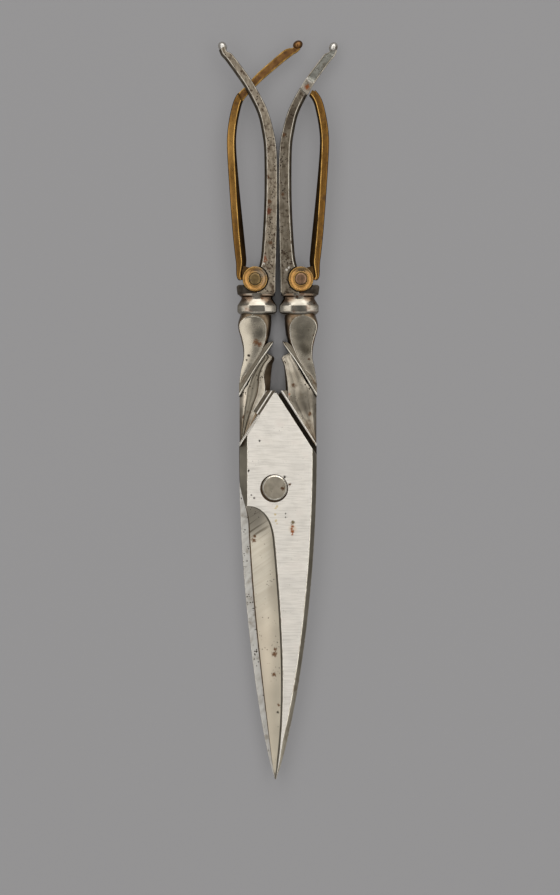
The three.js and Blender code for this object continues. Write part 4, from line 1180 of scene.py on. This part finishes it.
steel_along = direction_at_crossing(steel_stations)
brass_along = direction_at_crossing(brass_stations)
print(f"arms cross {crossing.y:.1f} mm above the pivot")


# %% A chamfered bar, whole or half as deep
def bar(stations, rows, chamfer_left, chamfer_right, edges, lap=0, recess=None):
    """A bar along a path, with the finishes of its four rounded edges from left to right. A lap of 1 or -1
    keeps only that side of the parting plane, with a rim round a panel."""
    depth = ARM_HALF_DEPTH
    rings = []
    for centre, along, left, right in path_through(stations, rows):
        cut_left = min(chamfer_left(centre.y), 0.9 * left)
        cut_right = min(chamfer_right(centre.y), 0.9 * right)
        corners = [(left, depth - cut_left, 0.12, ARM_FLANK, edges[0]),
                   (left - cut_left, depth, 0.16, ARM_FACE, edges[1]),
                   (cut_right - right, depth, 0.16, ARM_FLANK, edges[2]),
                   (-right, depth - cut_right, 0.12, ARM_FLANK, edges[3])]
        if lap:
            level = LAP_GAP / 2
            panel = level + recess(centre)
            rim_left = min(LAP_RIM, 0.35 * left)
            rim_right = min(LAP_RIM, 0.35 * right)
            corners += [(-right, level, 0.14, ARM_EDGE), (rim_right - right, level, 0, ARM_EDGE),
                        (1.4 * rim_right - right, panel, 0, ARM_PANEL),
                        (left - 1.4 * rim_left, panel, 0, ARM_EDGE),
                        (left - rim_left, level, 0, ARM_EDGE), (left, level, 0.14, ARM_FLANK)]
            corners = [(x, lap * z, *rest) for x, z, *rest in corners]
        else:
            corners += [(-right, cut_right - depth, 0.12, ARM_FLANK, edges[3]),
                        (cut_right - right, -depth, 0.16, ARM_FACE, edges[2]),
                        (left - cut_left, -depth, 0.16, ARM_FLANK, edges[1]),
                        (left, cut_left - depth, 0.12, ARM_FLANK, edges[0])]
        points, strips = soften(corners, ARM_EDGE)
        rings.append([Vector((centre.x - along.y * x, centre.y + along.x * x, z)) for x, z in points])
    return skin(rings, strips)


def cut_end(bm, spot, forward, face_side):
    """Cuts a bar across and files off the corner towards one face, which leaves a bright slope."""
    bm = keep_side(bm, (spot.x, spot.y, 0), (forward.x, forward.y, 0))
    slope = Vector((forward.x, forward.y, face_side)).normalized()
    bm = keep_side(bm, (spot.x, spot.y, face_side * (ARM_HALF_DEPTH - END_SLOPE)), slope)
    bm.normal_update()
    for face in bm.faces:
        if face.normal.dot(slope) > 0.98:
            face.material_index = ARM_EDGE
    return bm


def half_lapped(make_bar, across, back, kept_side, recess):
    """A bar in two lengths: whole up to a line before the crossing, and half as deep past it."""
    forward = Vector((-across.y, across.x))
    spot = crossing - forward * back
    near = cut_end(make_bar(), spot, forward, -kept_side)
    far = keep_side(make_bar(kept_side, recess), (spot.x, spot.y, 0), (-forward.x, -forward.y, 0))
    return near, far


# %% The steel arm with its hook and the seats of its hinge
def at_hinge(bm):
    """Moves a turned shape to the hinge."""
    bmesh.ops.translate(bm, verts=bm.verts, vec=(-HINGE_X, HINGE_Y, 0))
    return bm


def ring(inner, outer, low, high):
    """A flat ring about the hinge."""
    return at_hinge(turned([(inner, low), (outer, low), (outer, high), (inner, high), (inner, low)]))


def hinge_cutters():
    """The rivet's hole and the two round seats beside the tongue, as turned cutters."""
    levels = [(HINGE_HOLE, -CUTTER_END, CUTTER_END), (WASHER_RADIUS + SEAT_GAP, TONGUE_HALF, CUTTER_END),
              (WASHER_RADIUS + SEAT_GAP, -CUTTER_END, -TONGUE_HALF)]
    cutters = [turned([(0, low), (radius, low), (radius, high), (0, high)]) for radius, low, high in levels]
    # The cut faces of the seats take the near black finish: painted shade.
    return [finished(at_hinge(cutter), ARM_SHADE) for cutter in cutters]


def steel_arm():
    def whole(lap=0, recess=None):
        edges = (ARM_FLANK, ARM_EDGE, ARM_EDGE, ARM_FLANK)
        return bar(steel_stations, 130, lambda y: STEEL_CHAMFER, lambda y: 0.25 * STEEL_CHAMFER, edges, lap,
                   recess)

    def past_crossing(spot):
        return (spot - crossing).dot(steel_along)

    def recess(spot):
        begun = smoothstep(past_crossing(spot), PANEL_START, PANEL_START + 0.5)
        before_hook = smoothstep((Vector(steel_hook) - spot).length, 1.5, 2.3)
        return PANEL_DEPTH * begun * before_hook

    near, far = half_lapped(whole, brass_along, 0.7 * BRASS_HALF_WIDTH + LAP_STOP_GAP, 1, recess)
    for face in far.faces:
        if face.material_index == ARM_PANEL and past_crossing(face.calc_center_median().xy) < PANEL_START:
            face.material_index = ARM_EDGE
    foot = steel_stations[0]
    near = keep_side(near, (foot[0] + foot[3], collar_top + 0.35, 0), (0.55, -0.83, 0))
    ball = hook_ball(HOOK_RADIUS, *steel_hook, ARM_HALF_DEPTH - HOOK_RADIUS, 0.5, ARM_BALL)
    return together(cut_away(near, *hinge_cutters()), far, ball)


# %% The horn under the brass heel, and the tongue
def hinge_block():
    """The horn reaches up to where the heel gets when the brass arm is swung out."""
    swing = Matrix.Rotation(math.radians(ARM_SWING_DEGREES), 2)
    hinge = Vector((-HINGE_X, HINGE_Y))
    end_x, end_y, end_half = brass_stations[0][:3]
    heel = hinge + swing @ (Vector((end_x - end_half, end_y)) - hinge)
    shoulder = heel.y - LAP_STOP_GAP
    outer_edge = brass_stations[1][0] - brass_stations[1][2]
    foot = collar_top - 0.4
    inner_edge = 0.6 - HINGE_X
    # The horn takes the near black finish: painted shade under the brass heel.
    horn = slab([(inner_edge, shoulder), (outer_edge + 0.5, shoulder), (outer_edge, shoulder - 0.5),
                 (outer_edge + 0.3, foot), (inner_edge, foot)],
                -HORN_HALF_DEPTH, HORN_HALF_DEPTH, 0.25, ARM_SHADE)
    tongue = ring(HINGE_HOLE, WASHER_RADIUS - TONGUE_INSET, -TONGUE_HALF, TONGUE_HALF)
    return together(cut_away(horn, *hinge_cutters()), tongue)


# %% Dress both handles
# The grooves of the leaf take the near black finish: painted shade.
carved_finishes = [carved_steel, worn_edge_sheen, teardrop_face, flank_brown, flute_steel, carved_steel, painted_shade]
# The sides of the band are near black and its upper slope darker: painted shade.
band_finishes = [flute_steel, worn_edge_sheen, teardrop_face, painted_shade, band_shade, flank_brown, painted_shade]
# The rims of the step and the lip take the bright blade finish as a painted highlight; their faces are darker
# with painted shade, and their sides are brown.
step_finishes = [band_shade, brushed_flat, teardrop_face, flank_brown, band_shade, band_shade]
for side in sides:
    node = side["layer"] + "_blade_half"
    face_steel = arm_steel if side["label"] == "left" else dark_arm_steel
    arm_finishes = [face_steel, arm_flank, arm_edge, panel_steel, painted_shade, ball_steel]
    shapes = {
        "leaf": (leaf(), carved_finishes),
        "step": (strip_along_shoulder(-0.3, 0.4, STEP_WIDTH, STEP_HALF_DEPTH, STEP_CHAMFER), step_finishes),
        "lip": (strip_along_shoulder(0.405, 0.985, LIP_WIDTH, LIP_HALF_DEPTH, 0.2), step_finishes),
        "band": (band(), band_finishes),
        "teardrop": (teardrop(), carved_finishes),
        "collar": (collar(), [collar_steel]),
        "hinge_block": (hinge_block(), arm_finishes),
        "steel_arm": (steel_arm(), arm_finishes),
    }
    for name, (shape, finishes) in shapes.items():
        piece(f"{side['label']}_{name}", shape, side["matrix"], side["half"], node, finishes)
print("steel pieces", len(made))


# %% [markdown]
# ## Brass arms
# A brass arm starts in a fork: two round cheeks that take the tongue between them. From there a limb rises
# and bends in behind the steel arm, where its hooked tail is cut to half depth. On the right the tail is
# lost, and the limb ends in a torn notch. The limb is the same bar as on the steel arm, and a small wedge
# cuts the notch.

# %% One brass arm
CHEEK_INNER, CHEEK_OUTER = 0.82, 1.52
WEB_INSET = 0.02
FINGER_CHAMFERS = (1.4, 0.55)
CHAMFER_NARROWS = (6, 40)


def finger_chamfer(y):
    """The broad chamfer towards the finger, which narrows upwards along the limb."""
    return mix(*FINGER_CHAMFERS, smoothstep(y - HINGE_Y, *CHAMFER_NARROWS))


def brass_arm(whole_tail):
    """The fork and the limb, with a half-lapped tail or broken off before the crossing."""
    def whole(lap=0, recess=None):
        edges = (ARM_FLANK, ARM_FACE, ARM_EDGE, ARM_FLANK)
        return bar(brass_stations, 150, lambda y: 0.5 * BRASS_CHAMFER, finger_chamfer, edges, lap, recess)

    across = -steel_along
    back = 0.81 * STEEL_HALF_WIDTH + (LAP_STEP_GAP if whole_tail else BREAK_GAP)
    forward = Vector((-across.y, across.x))
    web_inner, web_outer = -HINGE_X - 1.6, -HINGE_X - heel_x
    web_foot, web_top = HINGE_Y - HEEL_DROP, HINGE_Y + WASHER_RADIUS
    web_outline = [(web_inner, web_foot), (web_inner, web_top - 0.2), (web_outer, web_top + 0.2),
                   (web_outer, web_foot)]
    forks = []
    for low, high in ((CHEEK_INNER, CHEEK_OUTER), (-CHEEK_OUTER, -CHEEK_INNER)):
        forks.append(ring(HINGE_HOLE, WASHER_RADIUS, low, high))
        forks.append(slab(web_outline, low + WEB_INSET, high - WEB_INSET, 0.05, ARM_FLANK))
    if whole_tail:
        near, far = half_lapped(whole, across, back, -1, lambda spot: 0.0)
        hook = hook_ball(HOOK_RADIUS, *brass_hook, HOOK_RADIUS - ARM_HALF_DEPTH, -1.0, ARM_PANEL)
        return together(near, far, hook, *forks)
    spot = crossing - forward * back
    limb = cut_end(whole(), spot, forward, -1)
    notch = crossing - forward * (back + BREAK_DEPTH)
    flanks = [notch + Vector(slant) * BREAK_DEPTH for slant in ((2, 1.2), (0.1, 2.7))]
    wedge = finished(slab([notch, *flanks], -CUTTER_END, CUTTER_END, 0), ARM_EDGE)
    return together(cut_away(limb, wedge), *forks)


for side in sides:
    label = side["label"]
    thing = piece(label + "_brass_arm", brass_arm(label == "left"), side["matrix"], label + "_arm",
                  label + "_bow_arm", [limb_brass, dark_brass, bright_brass, tail_brass])
    print(thing.name, len(thing.data.polygons), "faces")

# %% [markdown]
# ## Washers and rivets
# The hinge washers, the hinge rivets and the pivot rivet are round about an axis, so each is a profile that
# is spun. A washer has a raised rim, a dished face and a low ridge round the core of the rivet. The hinge
# rivets are a little crowned, and the pivot heads are flat with a chamfer.

# %% Rounded profiles
def rounded(profile, radius):
    """Rounds the corners between the first and last points of a lathe profile."""
    corners = [Vector(corner) for corner in profile]
    points = [corners[0]]
    for before, here, after in zip(corners, corners[1:], corners[2:]):
        points += corner_round(before, here, after, radius)
    return [*points, corners[-1]]


def with_underside(upper):
    """A lathe profile that is the same below the parting plane as above it."""
    return [*[(radius, -z) for radius, z in reversed(upper)], *upper]


# %% Washers and hinge rivets
WASHER_INNER, WASHER_OUTER = 1.64, 2.24
RIVET_RADIUS, RIVET_HEAD_RADIUS = 1.1, 1.55
RIM_WIDTH = 0.42
DISH_DEPTH = 0.24
HEAD_SINK = 0.3
HEAD_CROWN = 0.12
CORE_GAP = 0.14
WASHER_DISH, WASHER_RIM, WASHER_SHADE = range(3)


def washer(face_up):
    hole, seat = RIVET_RADIUS + 0.08, RIVET_HEAD_RADIUS + CORE_GAP
    seat_floor = WASHER_OUTER - HEAD_SINK - 0.12
    dish_floor = WASHER_OUTER - 1.3 * DISH_DEPTH
    profile = rounded([(hole, WASHER_INNER), (WASHER_RADIUS, WASHER_INNER),
                       (WASHER_RADIUS, WASHER_OUTER - 0.1), (WASHER_RADIUS - 0.12, WASHER_OUTER),
                       (WASHER_RADIUS - RIM_WIDTH, WASHER_OUTER),
                       (WASHER_RADIUS - 1.35 * RIM_WIDTH, WASHER_OUTER - 0.45 * DISH_DEPTH),
                       (seat + 0.42, dish_floor), (seat + 0.3, dish_floor + 0.1), (seat, dish_floor + 0.1),
                       (seat, seat_floor), (hole, seat_floor), (hole, WASHER_INNER)], 0.05)

    def strips(radius, z):
        # The seat round the rivet head takes the near black finish: painted shade.
        if radius < seat + 0.02:
            return WASHER_SHADE
        ridge = seat + 0.02 < radius < seat + 0.3
        rim = radius > WASHER_RADIUS - 0.9 * RIM_WIDTH and z > WASHER_OUTER - 0.12
        return WASHER_RIM if ridge or rim else WASHER_DISH

    bm = turned(profile, strips=strips)
    if not face_up:
        bmesh.ops.rotate(bm, verts=bm.verts, cent=(0, 0, 0), matrix=Matrix.Rotation(math.pi, 3, "X"))
    return at_hinge(bm)


def hinge_rivet():
    head_floor = WASHER_OUTER - HEAD_SINK
    upper = [(RIVET_RADIUS, head_floor), (RIVET_HEAD_RADIUS, head_floor), (RIVET_HEAD_RADIUS, WASHER_OUTER),
             (0.75 * RIVET_HEAD_RADIUS, WASHER_OUTER + HEAD_CROWN), (0, WASHER_OUTER + HEAD_CROWN)]
    return at_hinge(turned(rounded(with_underside(upper), 0.1)))


for side in sides:
    label, body = side["label"], side["label"] + "_arm"
    other = "rear" if side["layer"] == "front" else "front"
    for layer, face_up in ((side["layer"], True), (other, False)):
        node = f"{label}_{layer}_washer"
        piece(node + "_turned", washer(face_up), side["matrix"], body, node,
              [washer_brass, washer_rim, painted_shade])
    piece(label + "_rivet_turned", hinge_rivet(), side["matrix"], body, label + "_hinge_rivet",
          [core_metal if label == "left" else pink_core])
print("pieces", len(made))


# %% The pivot rivet
def pivot_rivet():
    shank, underside, chamfer = 2.2, PLATE_FACE - 0.38, 0.42
    upper = [(shank, underside), (HEAD_RADIUS, underside), (HEAD_RADIUS, REST_HALF_DEPTH - 0.6 * chamfer),
             (HEAD_RADIUS - chamfer, REST_HALF_DEPTH), (0, REST_HALF_DEPTH)]

    def strips(radius, z):
        on_chamfer = radius > HEAD_RADIUS - 0.95 * chamfer and abs(z) > REST_HALF_DEPTH - 0.7 * chamfer
        return 1 if on_chamfer else 0

    bm = turned(rounded(with_underside(upper), 0.08), strips=strips)
    bmesh.ops.translate(bm, verts=bm.verts, vec=(-PIVOT_OFFSET, 0, 0))
    return bm


piece("pivot_rivet_turned", pivot_rivet(), as_drawn, "front_half", "pivot_rivet",
      [head_steel, worn_edge_sheen])
print("pieces", len(made))

# %% [markdown]
# ## Floor
# The scissors lie on an evenly lit sheet, so their shadow is faint. A plain diffuse floor would keep too much
# of it. This one shows the camera, and whatever mirrors it, a share of its own even grey. The share follows
# how open the floor is there, which the Ambient Occlusion node tells, so the narrow slit between the arms
# stays dark.

# %% Floor
FLOOR_HALF = 2.0
FLOOR_COLOUR = (0.285, 0.281, 0.283)
EVEN_GREY = (0.299, 0.293, 0.295)
EVEN_SHARE = 0.58
OPEN_REACH = 20 * MM
OPENNESS_SAMPLES = 16
SLIT_OPENNESS, GAP_OPENNESS = 0.17, 0.25


def paper_sheet():
    material = bpy.data.materials.new("paper")
    material.use_nodes = True
    tree = material.node_tree
    sheet = tree.nodes["Principled BSDF"]
    sheet.inputs["Base Color"].default_value = (*FLOOR_COLOUR, 1)
    sheet.inputs["Roughness"].default_value = 0.9
    sheet.inputs["Specular IOR Level"].default_value = 0.1
    even_grey = linked(tree, "ShaderNodeEmission", Color=(*EVEN_GREY, 1))
    rays = tree.nodes.new("ShaderNodeLightPath").outputs
    seen = worked_out(tree, "MAXIMUM", rays["Is Camera Ray"], rays["Is Glossy Ray"])
    seen = worked_out(tree, "MAXIMUM", seen, rays["Is Transmission Ray"])
    openness = linked(tree, "ShaderNodeAmbientOcclusion", Distance=OPEN_REACH)
    openness.samples = OPENNESS_SAMPLES
    even = linked(tree, "ShaderNodeMapRange", Value=openness.outputs["AO"], From_Min=SLIT_OPENNESS,
                  From_Max=GAP_OPENNESS, To_Max=EVEN_SHARE)
    softened = linked(tree, "ShaderNodeMixShader",
                      Fac=worked_out(tree, "MULTIPLY", seen, even.outputs["Result"]))
    tree.links.new(sheet.outputs[0], softened.inputs[1])
    tree.links.new(even_grey.outputs[0], softened.inputs[2])
    tree.links.new(softened.outputs[0], tree.nodes["Material Output"].inputs["Surface"])
    return material


bm = bmesh.new()
bmesh.ops.create_grid(bm, x_segments=1, y_segments=1, size=FLOOR_HALF)
mesh = bpy.data.meshes.new("floor")
bm.to_mesh(mesh)
bm.free()
mesh.materials.append(paper_sheet())
floor = bpy.data.objects.new("floor", mesh)
bpy.context.collection.objects.link(floor)
print("floor", 2 * FLOOR_HALF, "m wide")

# %% [markdown]
# ## Light and camera
# Polished metal shows what is around it more than its own colour, so the light is a plan of reflections. Two
# long softboxes to the right and left leave the space straight above dark: brushed faces gather light from
# both, but a polished facet that faces the camera turns grey. A low softbox beyond the handles gives the
# white lights on the collars, and a small one on the near side draws the lower edges. The camera stands a
# metre above the scissors, and its lens follows from the size of a picture point.

# %% Softboxes
def softbox(name, place, size, radiance):
    """A rectangular lamp that faces the scissors. Its power follows from the brightness it shows."""
    lamp = bpy.data.lights.new(name, "AREA")
    lamp.shape = "RECTANGLE"
    lamp.size, lamp.size_y = size
    lamp.energy = math.pi * radiance * size[0] * size[1]
    holder = bpy.data.objects.new(name, lamp)
    holder.location = place
    holder.rotation_euler = (-Vector(place)).to_track_quat("-Z", "Y").to_euler()
    holder.visible_camera = False
    bpy.context.collection.objects.link(holder)


softbox("right_softbox", (0.8, 0.1, 1.4), (2.2, 1.0), 1.5)
softbox("left_softbox", (-0.8, 0.1, 1.4), (2.2, 1.0), 1.4)
softbox("far_softbox", (0.05, 1.1, 0.8), (1.6, 0.6), 2.7)
softbox("near_softbox", (0.0, -1.15, 0.8), (1.2, 0.35), 1.0)
print("softboxes", len(bpy.data.lights))

# %% The light of the room
WORLD_STRENGTH = 0.3
world = bpy.data.worlds.new("studio")
world.use_nodes = True
world.node_tree.nodes["Background"].inputs["Color"].default_value = (1, 1, 1, 1)
world.node_tree.nodes["Background"].inputs["Strength"].default_value = WORLD_STRENGTH
bpy.context.scene.world = world
print("room light", WORLD_STRENGTH)

# %% Camera
PHOTO_WIDTH, PHOTO_HEIGHT = 560, 895
PIXEL_SIZE = 0.27 * MM
MIDDLE_LINE_PIXEL, PIVOT_PIXEL = 278.0, 487.5
CAMERA_HEIGHT = 1.0
camera_data = bpy.data.cameras.new("camera")
camera_data.sensor_fit = "VERTICAL"
camera_data.sensor_height = 24
camera_data.lens = camera_data.sensor_height * CAMERA_HEIGHT / (PHOTO_HEIGHT * PIXEL_SIZE)
camera = bpy.data.objects.new("camera", camera_data)
camera.location = (middle_x + (PHOTO_WIDTH / 2 - MIDDLE_LINE_PIXEL) * PIXEL_SIZE,
                   (PIVOT_PIXEL - PHOTO_HEIGHT / 2) * PIXEL_SIZE,
                   pivot.z + CAMERA_HEIGHT)
bpy.context.collection.objects.link(camera)
bpy.context.scene.camera = camera
bpy.context.scene.view_settings.view_transform = "Standard"
print(f"lens {camera_data.lens:.1f} mm")
